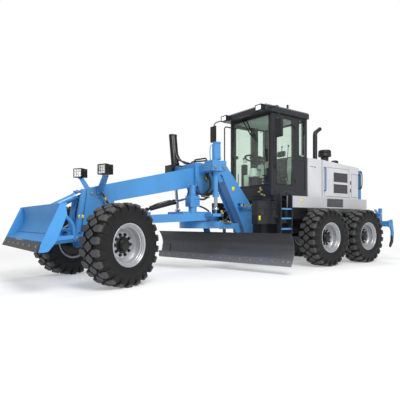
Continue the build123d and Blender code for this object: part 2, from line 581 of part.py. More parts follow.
SEAT_X = 1300.0
CUSHION_Z = (1985.0, 2095.0)
BACK_TILT = -5.0
cushion = fillet(block((SEAT_X - 230, SEAT_X + 260), (-240, 240), CUSHION_Z).edges(), 35)
back_place = Pos(SEAT_X - 165, 0, CUSHION_Z[1] - 8.2) * Rot(Y=BACK_TILT)
backrest = back_place * Pos(0, 0, 285) * fillet(Box(110, 440, 550).edges(), 40)
headrest = back_place * Pos(0, 0, 670) * fillet(Box(90, 280, 170).edges(), 30)
head_posts = [back_place * Pos(0, y, 575) * Cylinder(7, 90) for y in (-70, 70)]
keep("cab_seat", cushion, fuse(backrest, headrest, head_posts))

STEER_WHEEL = (1880.0, 0.0, 2550.0)
STEER_WHEEL_R = 200.0
COLUMN_FOOT = (2020.0, 0.0, 2080.0)
seat_base = fuse(block((SEAT_X - 200, SEAT_X + 200), (-190, 190), (CUSHION_Z[0] - 45, CUSHION_Z[0] - GAP)),
                 block((SEAT_X - 130, SEAT_X + 130), (-130, 130), (FLOOR_Z + GAP, CUSHION_Z[0] - 44)))
wheel_way = Vector(*STEER_WHEEL) - Vector(*COLUMN_FOOT)
column = fuse(block((COLUMN_FOOT[0] - 60, COLUMN_FOOT[0] + 60), (-110, 110), (FLOOR_Z + GAP, COLUMN_FOOT[2] + 40)),
              bar(COLUMN_FOOT, STEER_WHEEL, 60))
column += Plane(origin=STEER_WHEEL, z_dir=wheel_way) * (Torus(STEER_WHEEL_R, 14) + Box(2 * STEER_WHEEL_R, 22, 14)
                                                        + Box(22, 2 * STEER_WHEEL_R, 14) + Cylinder(45, 40))
pod = block((1460.0, 1720.0), (280.0, 400.0), (FLOOR_Z + GAP, 2140.0))
for x in (1620.0, 1680.0):
    pod += bar((x, 330.0, 2130.0), (x, 330.0, 2420.0), 16) + Pos(x, 330.0, 2430) * Sphere(22)
keep("cab_controls", seat_base, column, both_sides(pod))

MIRROR = (60.0, 190.0, 410.0)
MIRRORS = (               # head's middle, arm's root, arm's bend
    ((2230.0, 1000.0, 3090.0), (2250.0, ROOF_HALF_W + GAP, 3570.0), (2250.0, 1000.0, 3570.0)),
    ((2370.0, -1130.0, 3290.0), (2320.0, -ROOF_HALF_W - GAP, 3590.0), (2320.0, -1130.0, 3590.0)),
)
fittings = []
for middle, root, bend in MIRRORS:
    arm = bent_tube([root, bend, (middle[0], middle[1], middle[2] + MIRROR[2] / 2 - 20)], 26, 60)
    fittings.append(arm + Pos(*middle) * fillet(Box(*MIRROR).edges(), 25))
for y in (-ROOF_HALF_W + 150, ROOF_HALF_W - 150):
    shell = block((ROOF_X[1] + GAP, ROOF_X[1] + 95), (y - 100, y + 100), (ROOF_Z[0] - 5, ROOF_Z[1] - 20))
    face = block((ROOF_X[1] + 87, ROOF_X[1] + 96), (y - 90, y + 90), (ROOF_Z[0] + 5, ROOF_Z[1] - 30))
    fittings.append(shell - face)
fittings.append(Pos(1400.0, 500.0, ROOF_Z[1] + 85 + GAP) * (Cylinder(22, 170) + Pos(0, 0, -75) * Cylinder(50, 20)))
GRAB_RAIL = ((CAB_X[1] + GAP, 3400.0), (ROOF_X[1] - 5, 3400.0), (ROOF_X[1] - 5, 1750.0), (CAB_X[1] + GAP, 1750.0))
fittings.append(bent_tube([(x, 18 - CAB_HALF_W, z) for x, z in GRAB_RAIL], 30, 60))
keep("cab_fittings", fittings)

# ---------------------------------------------------------------- front frame
NOSE_HALF_W = 240.0
NOSE = from_x(WHEELBASE, [(-330, 900), (-330, 1640), (-60, 1690), (170, 1615), (270, 870), (-290, 870)])
NOSE_FOOT_Z = 870.0
BEAM_TOP_Z = 2229.0
BEAM_BACK_X = ARTIC_X + 1114
BEAM_SIDE = [(WHEELBASE + 100, 1620), (WHEELBASE - 60, 1690), (CIRCLE_X + 109, BEAM_TOP_Z),
             (ARTIC_X + 1280, BEAM_TOP_Z), (ARTIC_X + 1080, 2120), (BEAM_BACK_X, 1934),
             (WHEELBASE - 326, 1416), (WHEELBASE + 100, 1380)]
LEG_SIDE = from_x(ARTIC_X, [(1480, BEAM_TOP_Z), (1280, 2288), (1095, 2298), (342, 1431), (247, 1037), (182, 873),
                            (170, 650), (490, 650), (591, 946), (1209, 2069), (1480, 2110)])
LEG_WEB = from_x(ARTIC_X, [(1280, 2229), (1110, 2240), (382, 1420), (290, 1027), (225, 873), (225, 700), (460, 700),
                           (551, 956), (1150, 2050), (1280, 2070)])
YOKE_L = (LIFT_X, 690.0, 2160.0)
YOKE_R = (LIFT_X, -840.0, 2235.0)
YOKE_BALL_R = 95.0
YOKE_PASS_R = 84.0
YOKE_SIZE = (350.0, 270.0, 205.0)


def beam_under_z(x):
    """Height of the main beam's underside at x."""
    (x0, z0), (x1, z1) = BEAM_SIDE[5], BEAM_SIDE[6]
    return z0 + (x - x0) * (z1 - z0) / (x1 - x0)


frame = [side_plate(BEAM_SIDE, (-BEAM_HALF_W, BEAM_HALF_W))]
frame += both_sides(side_plate(LEG_SIDE, (BEAM_HALF_W, BEAM_HALF_W + LEG_T)))
frame.append(side_plate(LEG_WEB, (-BEAM_HALF_W - 1, BEAM_HALF_W + 1)))
hinge_z = (HINGE_EAR_Z[0][1] + 30, HINGE_EAR_Z[1][0] - 33)
frame.append(block((ARTIC_X, ARTIC_X + 380), (-BEAM_HALF_W - 1, BEAM_HALF_W + 1), hinge_z))
frame.append(Pos(ARTIC_X, 0, sum(hinge_z) / 2) * Cylinder(125, hinge_z[1] - hinge_z[0]))
front = fuse(frame) - Pos(ARTIC_X, 0, HINGE_Z) * Cylinder(HINGE_PIN_D / 2 + RUN, 400)

SLOT_HALF_W = 85.0
front += side_plate(NOSE, (-NOSE_HALF_W, NOSE_HALF_W))
for side in both_sides(bar((WHEELBASE + 215, 190, 1600), (WHEELBASE + 340, 190, 800), 110)):
    front += side
front += block((WHEELBASE + 180, WHEELBASE + 330), (-ARM_Y - 70, ARM_Y + 70), (ARM_PIN[1] - 50, NOSE_FOOT_Z + 1))
front -= block((BUCKET_CYL_BASE[0] - 80, WHEELBASE + 600), (-SLOT_HALF_W, SLOT_HALF_W),
               (BUCKET_CYL_BASE[2] - 250, BUCKET_CYL_BASE[2] + 200))
BALL_BRACKET_Z = (930.0, 1170.0)
bracket = block((BALL[0] + 40, NOSE[0][0] + 1), (-110, 110), BALL_BRACKET_Z)
bracket -= Pos(*BALL) * Rot(Z=180) * Sphere(BALL_D / 2 + GAP)
front = fuse(front, bracket, across(BUCKET_CYL_BASE, 20, 2 * BEAM_HALF_W),
             block((WHEELBASE - 110, WHEELBASE + 110), (-BEAM_HALF_W, BEAM_HALF_W),
                   (AXLE_Z + 95 + GAP, NOSE_FOOT_Z + 1)),
             both_sides(clevis((ARM_PIN[0], ARM_Y, ARM_PIN[1]), (WHEELBASE + 300, ARM_Y, ARM_PIN[1]), (0, 1, 0),
                               90.0, 60.0, 24.0, 50.0)))
nose_hook = across((WHEELBASE + 90, 0, 1550), 32, 2 * NOSE_HALF_W + 30)
front = fuse(front, nose_hook - block((WHEELBASE, WHEELBASE + 600), (20 - NOSE_HALF_W, NOSE_HALF_W - 20),
                                      (1500, 1600)))

SADDLE_Y = 205.0
CHEEK = from_x(LIFT_X, [(-490, 2229), (-120, 2275), (165, 2275), (165, 2000), (0, 1560), (-180, 1560), (-490, 1990)])
front += block((LIFT_X - 170, LIFT_X + 150), (-SADDLE_Y, SADDLE_Y), (1790.0, 2275.0))
for side in both_sides(side_plate(CHEEK, (SADDLE_Y - 1, SADDLE_Y + 19))):
    front += side
for x, y, z in (YOKE_L, YOKE_R):
    s = 1 if y > 0 else -1
    inner_y = y - s * (YOKE_SIZE[1] / 2 - 5)
    front += beam((x, s * (SADDLE_Y - 10), 2130.0), (x, inner_y, z), 150, 150)
    yoke = Pos(x, y, z) * (Box(*YOKE_SIZE) - Sphere(YOKE_BALL_R + GAP) - Cylinder(YOKE_PASS_R, 400))
    yoke = fuse(yoke, [bar((x + dx, y + s * (YOKE_SIZE[1] / 2 - 5), z - 30),
                           (x + dx, y + s * (YOKE_SIZE[1] / 2 + 14), z - 30), 62) for dx in (-110, 110)])
    front += yoke
shift_root = (SHIFT_CYL_BASE[0] - 60, SHIFT_CYL_BASE[1], beam_under_z(SHIFT_CYL_BASE[0]) + 10)
front += clevis(SHIFT_CYL_BASE, shift_root, SHIFT_AXIS, 60.0, 45.0, 18.0, 36.0)
x, y, z = STEER_CYL_EYE
for gap_z in (-41.0, 41.0):
    lug = top_plate([(x - 60, BEAM_HALF_W + LEG_T - 5), (x + 60, BEAM_HALF_W + LEG_T - 5), (x + 50, y + 45),
                     (x - 50, y + 45)], (z + gap_z - 9, z + gap_z + 9))
    lug += Pos(x, y, z + gap_z * 1.33) * Cylinder(25, 12)
    for side in both_sides(lug):
        front += side
keep("front_frame", front)

KNUCKLE_H = 160.0
KINGPIN_R = 28.0
axle = beam((WHEELBASE, -KINGPIN_Y + 100, AXLE_Z), (WHEELBASE, KINGPIN_Y - 100, AXLE_Z), 190, 190)
for s in (1, -1):
    outer, inner = s * KINGPIN_Y, s * (KINGPIN_Y - 170)
    for z in (AXLE_Z + KNUCKLE_H / 2 + 5, AXLE_Z - KNUCKLE_H / 2 - 45):
        axle += block((WHEELBASE - 70, WHEELBASE + 70), sorted((inner, outer)), (z, z + 40))
        axle += Pos(WHEELBASE, outer, z + 20) * Cylinder(70, 40)
    axle += block((WHEELBASE - 70, WHEELBASE + 70), sorted((inner, inner + s * 75)), (AXLE_Z - 125, AXLE_Z + 125))
    axle += Pos(WHEELBASE, outer, AXLE_Z) * Cylinder(KINGPIN_R, KNUCKLE_H + 100)
keep("front_axle", axle)

for name, s in (("left", 1), ("right", -1)):
    knuckle = Cylinder(75, KNUCKLE_H)
    knuckle += bar((0, 0, 0), (0, s * (SPINDLE - HUB_BACK - GAP), 0), 130)
    knuckle += bar((0, 0, 0), (0, s * (SPINDLE - 5), 0), 2 * STUB_R)
    knuckle -= Cylinder(KINGPIN_R + RUN, KNUCKLE_H + 2)
    keep(f"knuckle_{name}", Pos(WHEELBASE, s * KINGPIN_Y, AXLE_Z) * Rot(Z=STEER_REST) * knuckle)

LAMP = (WHEELBASE + 40.0, 600.0, 1965.0)
LAMP_SIZE = (130.0, 220.0, 220.0)
stalk_foot = (WHEELBASE - 60.0, NOSE_HALF_W - 60, 1560.0)
stalk = beam(stalk_foot, (LAMP[0] - 20, LAMP[1] - 20, LAMP[2] - 110), 80, 40)
stalk -= side_plate([(px, pz + GAP) for px, pz in NOSE], (-NOSE_HALF_W - GAP, NOSE_HALF_W + GAP))
lamp = fillet(Box(*LAMP_SIZE).edges(), 15)
lamp -= Pos(LAMP_SIZE[0] / 2, 0, 0) * Box(16, LAMP_SIZE[1] - 36, LAMP_SIZE[2] - 36)
keep("work_lamps", both_sides(stalk + Pos(*LAMP) * lamp))

HOSE_D = 34.0
HOSE_BEND = 45.0
saddle_top = 2275.0 + GAP
cheek_y = SADDLE_Y + 19 + HOSE_D / 2 + GAP
nose_y = (NOSE_HALF_W + GAP, NOSE_HALF_W + 80)
HOSES = (                 # hose's points, over the saddle and beside the nose
    [(LIFT_X - 60, -130, saddle_top), (LIFT_X - 60, -130, 2390), (LIFT_X - 110, cheek_y, 2390),
     (LIFT_X - 110, cheek_y, 1900)],
    [(LIFT_X + 20, -130, saddle_top), (LIFT_X + 20, -130, 2340), (LIFT_X - 155, cheek_y, 2340),
     (LIFT_X - 155, cheek_y, 1900)],
    [(WHEELBASE - 60, nose_y[0], 1560), (WHEELBASE - 60, nose_y[1], 1560), (WHEELBASE - 200, nose_y[1], 1330),
     (WHEELBASE - 200, nose_y[0], 1330)],
)
keep("hoses", [bent_tube(points, HOSE_D, HOSE_BEND) for points in HOSES])

# ---------------------------------------------------------------- drawbar, circle, blade
plate_r = CIRCLE_R - 20
drawbar = Pos(CIRCLE_X, 0, sum(PLATE_Z) / 2) * Cylinder(plate_r, PLATE_Z[1] - PLATE_Z[0])
drawbar += Pos(CIRCLE_X, 0, (PLATE_Z[0] + CIRCLE_Z[1]) / 2) * Cylinder(360, PLATE_Z[0] - CIRCLE_Z[1] - 2 * GAP)
drawbar += Pos(CIRCLE_X, 0, (CIRCLE_Z[0] + PLATE_Z[0]) / 2) * Cylinder(CIRCLE_PIN_R, PLATE_Z[0] - CIRCLE_Z[0])
drawbar += top_plate([(CIRCLE_X + 100, -450), (CIRCLE_X + 690, -290), (CIRCLE_X + 690, 290), (CIRCLE_X + 100, 450)],
                     (PLATE_Z[1] - 1, PLATE_Z[1] + 50))
for s in (1, -1):
    drawbar += beam((BALL[0] - 130, s * 40, BALL[2] + 20), (CIRCLE_X + 200, s * 430, 1150.0), 80, 160)
    drawbar += beam((LIFT_EYE[0], s * 300.0, 1180.0), (LIFT_EYE[0], s * (LIFT_EYE[1] + 45), 1180.0), 200, 60)
    drawbar += bar((LIFT_EYE[0], s * LIFT_EYE[1], 1190.0), (LIFT_EYE[0], s * LIFT_EYE[1], LIFT_EYE[2]), 44)
    drawbar += Pos(LIFT_EYE[0], s * LIFT_EYE[1], LIFT_EYE[2]) * Sphere(34)
drawbar += bar((BALL[0] - 160, 0, BALL[2] + 15), BALL, 70)
drawbar += Pos(*BALL) * Sphere(BALL_D / 2)
drawbar += block((BALL[0] - 260, BALL[0] - 100), (-90, 90), (BALL[2] - 60, BALL[2] + 95))
MOTOR = (CIRCLE_X + 460.0, 300.0)
for r, z0, z1 in ((85.0, PLATE_Z[1], 1360.0), (65.0, 1560.0, 1790.0)):
    drawbar += Pos(*MOTOR, (z0 + z1) / 2) * Cylinder(r, z1 - z0 + 2)
drawbar += block((MOTOR[0] - 112, MOTOR[0] + 112), (MOTOR[1] - 95, MOTOR[1] + 95), (1350.0, 1570.0))
shift_foot = SHIFT_CYL_EYE[0]
drawbar += block((shift_foot - 60, shift_foot + 60), (SHIFT_CYL_EYE[1] - 45, SHIFT_CYL_EYE[1] + 45),
                 (1100.0, SHIFT_CYL_EYE[2] - 55))
keep("drawbar", drawbar)

# The circle, its arms and the blade are laid out ahead of the circle's middle, then yawed.
CIRCLE = Pos(CIRCLE_X, 0, 0) * Rot(Z=BLADE_YAW)
TILT_PIN_R = 25.0
ring = Pos(0, 0, sum(CIRCLE_Z) / 2) * (Cylinder(CIRCLE_R, CIRCLE_Z[1] - CIRCLE_Z[0])
                                       - Cylinder(CIRCLE_PIN_R + RUN, 400))
ARM_TOP_Z = 1010.0
ARM_LOW_Z = 890.0
blade_arm = side_plate([(-60, ARM_TOP_Z), (-60, ARM_LOW_Z), (-560, ARM_LOW_Z), (-650, 700),
                        (TILT_PIVOT[0] + 50, 370), (TILT_PIVOT[0] - 60, 370), (-790, 800), (-700, ARM_TOP_Z)],
                       (BLADE_ARM_Y, BLADE_ARM_Y + 40))
tie = block((-700, -300), (-BLADE_ARM_Y - 40, BLADE_ARM_Y + 40), (ARM_TOP_Z - 100, ARM_TOP_Z - 20))
circle = fuse(ring, both_sides(blade_arm), tie,
              both_sides(across((TILT_PIVOT[0], BLADE_ARM_Y, TILT_PIVOT[1]), TILT_PIN_R, 150)))
keep("circle", CIRCLE * circle)

RAIL_BACK_X = (-600.0, -550.0)
BLADE_RAILS = (330.0, 690.0)
SHOE_Y = (290.0, 370.0)
carrier = [across((TILT_PIVOT[0], 0, TILT_PIVOT[1]), 50, 2 * SHOE_Y[1])]
shoe = side_plate([(-745, 290), (-625, 270), (-625, 750), (-665, 750), (-745, 480)], SHOE_Y)
for z in BLADE_RAILS:
    shoe += (block((-640, -555), SHOE_Y, (z - 60, z + 60))
             - block((RAIL_BACK_X[0] - 1, -500), (SHOE_Y[0] - 1, SHOE_Y[1] + 1), (z - 26, z + 26)))
carrier = fuse(carrier, both_sides(shoe))
for side in both_sides(across((TILT_PIVOT[0], BLADE_ARM_Y, TILT_PIVOT[1]), TILT_PIN_R + RUN, 160)):
    carrier -= side
keep("blade_carrier", CIRCLE * carrier)

half_chord = BLADE_H / 2
arc_x = -BLADE_BACK + sqrt(BLADE_R ** 2 - half_chord ** 2)
arc_z = BLADE_Z + half_chord + 5


def curved_plate(r_in, r_out, half_l):
    """Arc-section plate, hollow side forward, chord upright at the blade's edges."""
    turn = degrees(atan2(half_chord, arc_x + BLADE_BACK))
    inner, outer = [CenterArc((arc_x, arc_z), r, 180 - turn, 2 * turn) for r in (r_in, r_out)]
    face = make_face([inner, Line(inner @ 0, outer @ 0), outer, Line(outer @ 1, inner @ 1)])
    return Pos(0, half_l, 0) * Rot(X=90) * extrude(face, amount=2 * half_l)


moldboard = curved_plate(BLADE_R, BLADE_R + BLADE_T, BLADE_L / 2)
hollow = curved_plate(BLADE_R - 200, BLADE_R + BLADE_T / 2, BLADE_L / 2 + 1)
for z in BLADE_RAILS:
    moldboard += block(RAIL_BACK_X, (-1150, 1150), (z - 25, z + 25))
    for y in (-1100, -400, 400, 1100):
        moldboard += block((RAIL_BACK_X[1] - 1, -420), (y - 20, y + 20), (z - 25, z + 25)) - hollow
BLADE = CIRCLE * Pos(0, BLADE_SHIFT, 0)
keep("moldboard", BLADE * moldboard)
edge_x = (-BLADE_BACK + GAP, -BLADE_BACK + GAP + EDGE_T)
END_BIT = 280.0
EDGES = (                 # along the blade, height
    (-BLADE_L / 2 + 2, -BLADE_L / 2 + END_BIT, EDGE_H + 160),
    (-BLADE_L / 2 + END_BIT + 1, -0.5, EDGE_H),
    (0.5, BLADE_L / 2 - END_BIT - 1, EDGE_H),
    (BLADE_L / 2 - END_BIT, BLADE_L / 2 - 2, EDGE_H + 160),
)
face_plate = curved_plate(BLADE_R - EDGE_T - GAP, BLADE_R - GAP, BLADE_L / 2)
edges = []
for y0, y1, high in EDGES:
    edge = block(edge_x, (y0, y1), (BLADE_Z, BLADE_Z + EDGE_H))
    if high > EDGE_H:
        edge = edge - curved_plate(BLADE_R - GAP, BLADE_R + 60, BLADE_L / 2)
        edge += face_plate & block((-600, 0), (y0, y1), (BLADE_Z, BLADE_Z + high))
    edges.append(edge - curved_plate(BLADE_R - GAP, BLADE_R + 60, BLADE_L / 2))
keep("cutting_edge", BLADE * Compound(children=flat_list([edge.solids() for edge in edges])))

# ---------------------------------------------------------------- front blade-bucket
tip_x, tip_z = BUCKET_TIP
top_x, top_z = BUCKET_TOP
up = Vector(top_x - tip_x, 0, top_z - tip_z).normalized()
normal = Vector(up.Z, 0, -up.X)
root = Vector(tip_x, 0, tip_z) + up * BUCKET_EDGE
inner_arc = ThreePointArc((root.X, 0, root.Z), (BUCKET_BACK[0], 0, BUCKET_BACK[1]), (top_x, 0, top_z))
outer_arc = ThreePointArc((root.X - BUCKET_WALL * 0.8, 0, root.Z - BUCKET_WALL * 0.6),
                          (BUCKET_BACK[0] - BUCKET_WALL, 0, BUCKET_BACK[1] - 8),
                          (top_x - BUCKET_WALL, 0, top_z + 4))
face = make_face([inner_arc, Line(inner_arc @ 1, outer_arc @ 1), outer_arc, Line(outer_arc @ 0, inner_arc @ 0)])
shell = Pos(0, -BUCKET_HALF_W, 0) * extrude(face, amount=2 * BUCKET_HALF_W, dir=(0, 1, 0))
ahead = make_face([inner_arc, Line(inner_arc @ 1, (tip_x + 400, 0, top_z)),
                   Line((tip_x + 400, 0, top_z), (tip_x + 400, 0, root.Z)),
                   Line((tip_x + 400, 0, root.Z), inner_arc @ 0)])
ahead = Pos(0, -BUCKET_HALF_W - 50, 0) * extrude(ahead, amount=2 * BUCKET_HALF_W + 100, dir=(0, 1, 0))
cheek = [(top_x - 110, top_z - 100), (top_x - 18, top_z + 6), (top_x + 14, top_z), (root.X + 18, root.Z),
         (tip_x - 25, tip_z + 15), (tip_x - 190, tip_z + 40), (tip_x - 330, tip_z + 170), (top_x - 125, 1010)]
bucket = fuse(shell, both_sides(side_plate(cheek, (BUCKET_HALF_W, BUCKET_HALF_W + BUCKET_WALL))))
pin_x, pin_z = ARM_PIN
arm = beam((pin_x + 40, ARM_Y, pin_z), (root.X - 190, ARM_Y, root.Z - 60), 88, 90)
arm += across((pin_x, ARM_Y, pin_z), 55, 88)
arm += bent_tube([(pin_x + 25, ARM_Y, pin_z + 20), (pin_x + 54, ARM_Y, 1000), (pin_x + 205, ARM_Y, 1175),
                  (top_x - 20, ARM_Y, 1150)], 62, 90)
arm -= across((pin_x, ARM_Y, pin_z), 25 + RUN, 100)
lug = open_clevis(BUCKET_CYL_EYE, (top_x, 0.0, BUCKET_CYL_EYE[2]), (0, 1, 0), 80.0, 46.0, 22.0, 40.0)
for piece in both_sides(arm) + [lug]:
    bucket += piece - ahead
stiffener = block((top_x - 60, top_x - 19), (-BUCKET_HALF_W + 10, BUCKET_HALF_W - 10), (top_z - 60, top_z)) - ahead
keep("bucket", bucket + stiffener)
edge_plane = Plane(origin=Vector(tip_x, 0, tip_z) + up * (BUCKET_EDGE / 2) + normal * (11 + GAP), x_dir=(0, 1, 0),
                   z_dir=normal)
keep("bucket_edge", edge_plane * Box(2 * (BUCKET_HALF_W - GAP), BUCKET_EDGE - 2, 22))

# ---------------------------------------------------------------- ripper
BEAM_Z = (900.0, 1060.0)
SHANK = from_x(RIPPER_BEAM_X, [(-70, 1100), (-150, 1100), (-SHANK_BACK, 700), (-190, 450), (-70, 300), (-45, 340),
                               (-125, 530), (-125, 760), (-70, 860)])
ripper = block((RIPPER_BEAM_X - 71, RIPPER_BEAM_X + 70), (-RIPPER_HALF_W, RIPPER_HALF_W), BEAM_Z)
for side in both_sides(
        beam((RIPPER_PIN[0] - 30, RIPPER_ARM_Y, RIPPER_PIN[1]), (RIPPER_BEAM_X + 40, RIPPER_ARM_Y, 980.0), 58, 110)
        + across((RIPPER_PIN[0], RIPPER_ARM_Y, RIPPER_PIN[1]), 55, 58)
        - across((RIPPER_PIN[0], RIPPER_ARM_Y, RIPPER_PIN[1]), 20 + RUN, 80)
        + block((RIPPER_BEAM_X - 40, RIPPER_BEAM_X + 40), (510, 590), (BEAM_Z[1] - 1, 1430.0))):
    ripper += side
ripper += open_clevis(RIPPER_CYL_EYE, (RIPPER_BEAM_X, 0.0, BEAM_Z[1] - 10), (0, 1, 0), 50.0, 36.0, 16.0, 30.0)
for i in range(SHANKS):
    y = -RIPPER_HALF_W + 40 + i * (2 * RIPPER_HALF_W - 80) / (SHANKS - 1)
    ripper += side_plate(SHANK, (y - 25, y + 25))
keep("ripper", ripper)


# ---------------------------------------------------------------- hydraulic cylinders
def lift_cylinder(yoke, end, above, below):
    """Barrel held in its yoke by a round collar, and rod with a cap over a ball stud."""
    way = (Vector(*end) - Vector(*yoke)).normalized()
    top, gland = Vector(*yoke) - way * above, Vector(*yoke) + way * below
    rod_d, low_d, high_d = 70.0, 96.0, 132.0
    barrel = bar(top, Vector(*yoke), high_d) + bar(Vector(*yoke), gland, low_d)
    barrel += bar(gland - way * 75, gland, high_d) + Pos(*yoke) * Sphere(YOKE_BALL_R)
    barrel -= bar(top + way * 30, gland + way, rod_d + 2 * RUN)
    rod = bar(top + way * (above * 0.7), Vector(*end) - way * 55, rod_d)
    cap = Pos(*end) * (Sphere(66) - Sphere(54))
    rod += cap - Plane(origin=Vector(*end) + way * 60, z_dir=way) * Box(200, 200, 120)
    return barrel, rod


# Each row: name, barrel's eye, rod's eye, barrel's and rod's diameters, barrel's mouth, pins' axis,
# eye's radius and width, pin's diameter, and whether the rod's eye is the one on the machine.
CYLINDERS = (
    ("shift", SHIFT_CYL_EYE, SHIFT_CYL_BASE, 100, 46, 640, SHIFT_AXIS, 38, 56, 36, True),
    ("steer_left", STEER_CYL_BASE, STEER_CYL_EYE, 90, 48, 790, (0, 0, 1), 45, 56, 40, False),
    ("steer_right", (STEER_CYL_BASE[0], -STEER_CYL_BASE[1], STEER_CYL_BASE[2]),
     (STEER_CYL_EYE[0], -STEER_CYL_EYE[1], STEER_CYL_EYE[2]), 90, 48, 790, (0, 0, 1), 45, 56, 40, False),
    ("bucket_lift", BUCKET_CYL_EYE, BUCKET_CYL_BASE, 130, 60, 510, (0, 1, 0), 42, 76, 40, True),
    ("ripper_lift", RIPPER_CYL_BASE, RIPPER_CYL_EYE, 70, 38, 280, (0, 1, 0), 32, 46, 30, False),
)
cylinders = {name: hydraulic(*row) for name, *row in CYLINDERS}
cylinders["lift_left"] = lift_cylinder(YOKE_L, LIFT_EYE, 446, 620)
cylinders["lift_right"] = lift_cylinder(YOKE_R, (LIFT_EYE[0], -LIFT_EYE[1], LIFT_EYE[2]), 850, 460)
for name, (barrel, rod) in cylinders.items():
    keep(f"{name}_barrel", barrel)
    keep(f"{name}_rod", rod)

for name, piece in parts.items():
    export_step(piece, f"parts/{name}.step")
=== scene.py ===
# %% [markdown]
# # Motor grader, dressed for its portrait
# The machine arrives as a set of plain solids that already have their sizes and their joints.
# Here each solid gets the finish of the real thing, and the parts that a plain solid can't show,
# such as tread, lamps, bolts and the seat, are modelled and fixed to the body that carries them.

# %% Load the solids
import math

import bmesh
import bpy
from mathutils import Matrix, Vector


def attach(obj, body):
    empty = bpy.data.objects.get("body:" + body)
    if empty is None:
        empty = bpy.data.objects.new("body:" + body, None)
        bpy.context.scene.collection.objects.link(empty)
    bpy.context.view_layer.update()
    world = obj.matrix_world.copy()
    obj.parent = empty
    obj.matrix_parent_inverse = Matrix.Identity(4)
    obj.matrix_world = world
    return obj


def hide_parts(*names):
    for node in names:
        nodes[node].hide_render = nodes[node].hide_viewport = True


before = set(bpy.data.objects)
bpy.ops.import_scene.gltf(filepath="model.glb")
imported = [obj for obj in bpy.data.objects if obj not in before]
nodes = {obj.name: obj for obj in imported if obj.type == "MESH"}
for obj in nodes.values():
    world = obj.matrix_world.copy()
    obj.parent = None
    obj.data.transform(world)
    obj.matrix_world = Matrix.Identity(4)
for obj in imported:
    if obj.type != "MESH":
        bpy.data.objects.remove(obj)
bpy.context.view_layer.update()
print("solids:", len(nodes))

# %% [markdown]
# ## Drawing measure
# A grader is drawn in millimetres from a point on the ground midway between the two rear axles.
# Every number below is read off that drawing, and one function turns it into metres in the scene,
# where the origin is under the middle of the machine. Keeping one measure makes slips easy to see.

# %% From the drawing to the scene
MIDDLE_X = 2265


def at(x, y, z):
    """Point in metres from the drawing's millimetres."""
    return Vector(((x - MIDDLE_X) / 1000, y / 1000, z / 1000))


print("front axle:", at(6050, 0, 675))

# %% [markdown]
# ## Camera
# The machine is seen from its left front corner, a little above the hubs, through a normal lens.
# The camera stays level so that uprights stay upright, and a small shift puts the machine in frame.

# %% Camera
scene = bpy.context.scene
lens = bpy.data.cameras.new("camera")
lens.lens = 36.53
lens.sensor_width = 36.0
lens.shift_y = 0.0531
camera = bpy.data.objects.new("camera", lens)
camera.location = (6.533, 7.099, 1.054)
camera.rotation_euler = (math.radians(90), 0, 4.0824 - math.radians(90))
scene.collection.objects.link(camera)
scene.camera = camera
print("camera height:", camera.location.z)

# %% [markdown]
# ## Colours and nodes
# Paint makers and screens give colours as sRGB hex values, but light is added up on a linear scale,
# so one function turns the first into the second. Another adds a node with its settings and links,
# which keeps each finish below down to the few lines that say what it is made of.

# %% Colour and node helpers
def linear(code, gain=1.0):
    """Linear colour of an sRGB hex value, made lighter or darker by gain."""
    parts = [int(code[i:i + 2], 16) / 255 for i in (1, 3, 5)]
    parts = [c / 12.92 if c <= 0.04045 else ((c + 0.055) / 1.055) ** 2.4 for c in parts]
    return [min(1.0, c * gain) for c in parts] + [1.0]


def add(tree, kind, options=None, values=None, links=None):
    """Add one node: its options, its sockets' values, and the outputs that feed its sockets."""
    node = tree.nodes.new("ShaderNode" + kind)
    for name, option in (options or {}).items():
        setattr(node, name, option)
    for socket, value in (values or {}).items():
        node.inputs[socket].default_value = value
    for socket, output in (links or {}).items():
        tree.links.new(output, node.inputs[socket])
    return node


def blank(name, **values):
    """New material: its node tree, its shader, and the place of each point on the piece."""
    material = bpy.data.materials.new(name)
    material.use_nodes = True
    tree = material.node_tree
    shader = tree.nodes["Principled BSDF"]
    for socket, value in values.items():
        shader.inputs[socket.replace("_", " ")].default_value = value
    return material, tree, shader, add(tree, "TexCoord").outputs["Object"]


def mixed(tree, factor, low, high):
    """Colour that goes from low to high as factor goes from 0 to 1."""
    values = {6: low} if isinstance(low, list) else {}
    links = {0: factor} if isinstance(low, list) else {0: factor, 6: low}
    values[7] = high
    return add(tree, "Mix", {"data_type": "RGBA"}, values, links).outputs[2]


print("mid grey:", round(linear("#808080")[0], 3))

# %% [markdown]
# ## Sprayed enamel
# The steelwork is shot-blasted, primed and sprayed with two-pack enamel. It has a gloss that isn't
# quite flat: the coat shrinks as it dries and leaves a faint orange-peel texture, about 5 mm between
# crests. That is too fine for this distance, so it is drawn at 12 mm. Sharp plate edges are painted
# paler, a painted highlight along them, which the rounded-edge node finds without touching the
# solids. A slow cloud of tone stands for road grime, and faces that look up take a tint: a little
# road dust on most paints, a painted sheen of the sky on the roof.

# %% Enamel
def masked(tree, place, base, code, low, high):
    """Second colour inside a masked-off box, given by two corners in millimetres."""
    middle, half = (at(*low) + at(*high)) / 2, (at(*high) - at(*low)) / 2
    off = add(tree, "VectorMath", {"operation": "SUBTRACT"}, {1: middle}, {0: place}).outputs[0]
    size = add(tree, "VectorMath", {"operation": "ABSOLUTE"}, None, {0: off}).outputs[0]
    share = add(tree, "VectorMath", {"operation": "DIVIDE"}, {1: half}, {0: size}).outputs[0]
    x, y, z = add(tree, "SeparateXYZ", None, None, {0: share}).outputs[:3]
    most = add(tree, "Math", {"operation": "MAXIMUM"}, None, {0: x, 1: y}).outputs[0]
    most = add(tree, "Math", {"operation": "MAXIMUM"}, None, {0: most, 1: z}).outputs[0]
    inside = add(tree, "Math", {"operation": "LESS_THAN"}, {1: 1.0}, {0: most}).outputs[0]
    return mixed(tree, inside, base, linear(code))


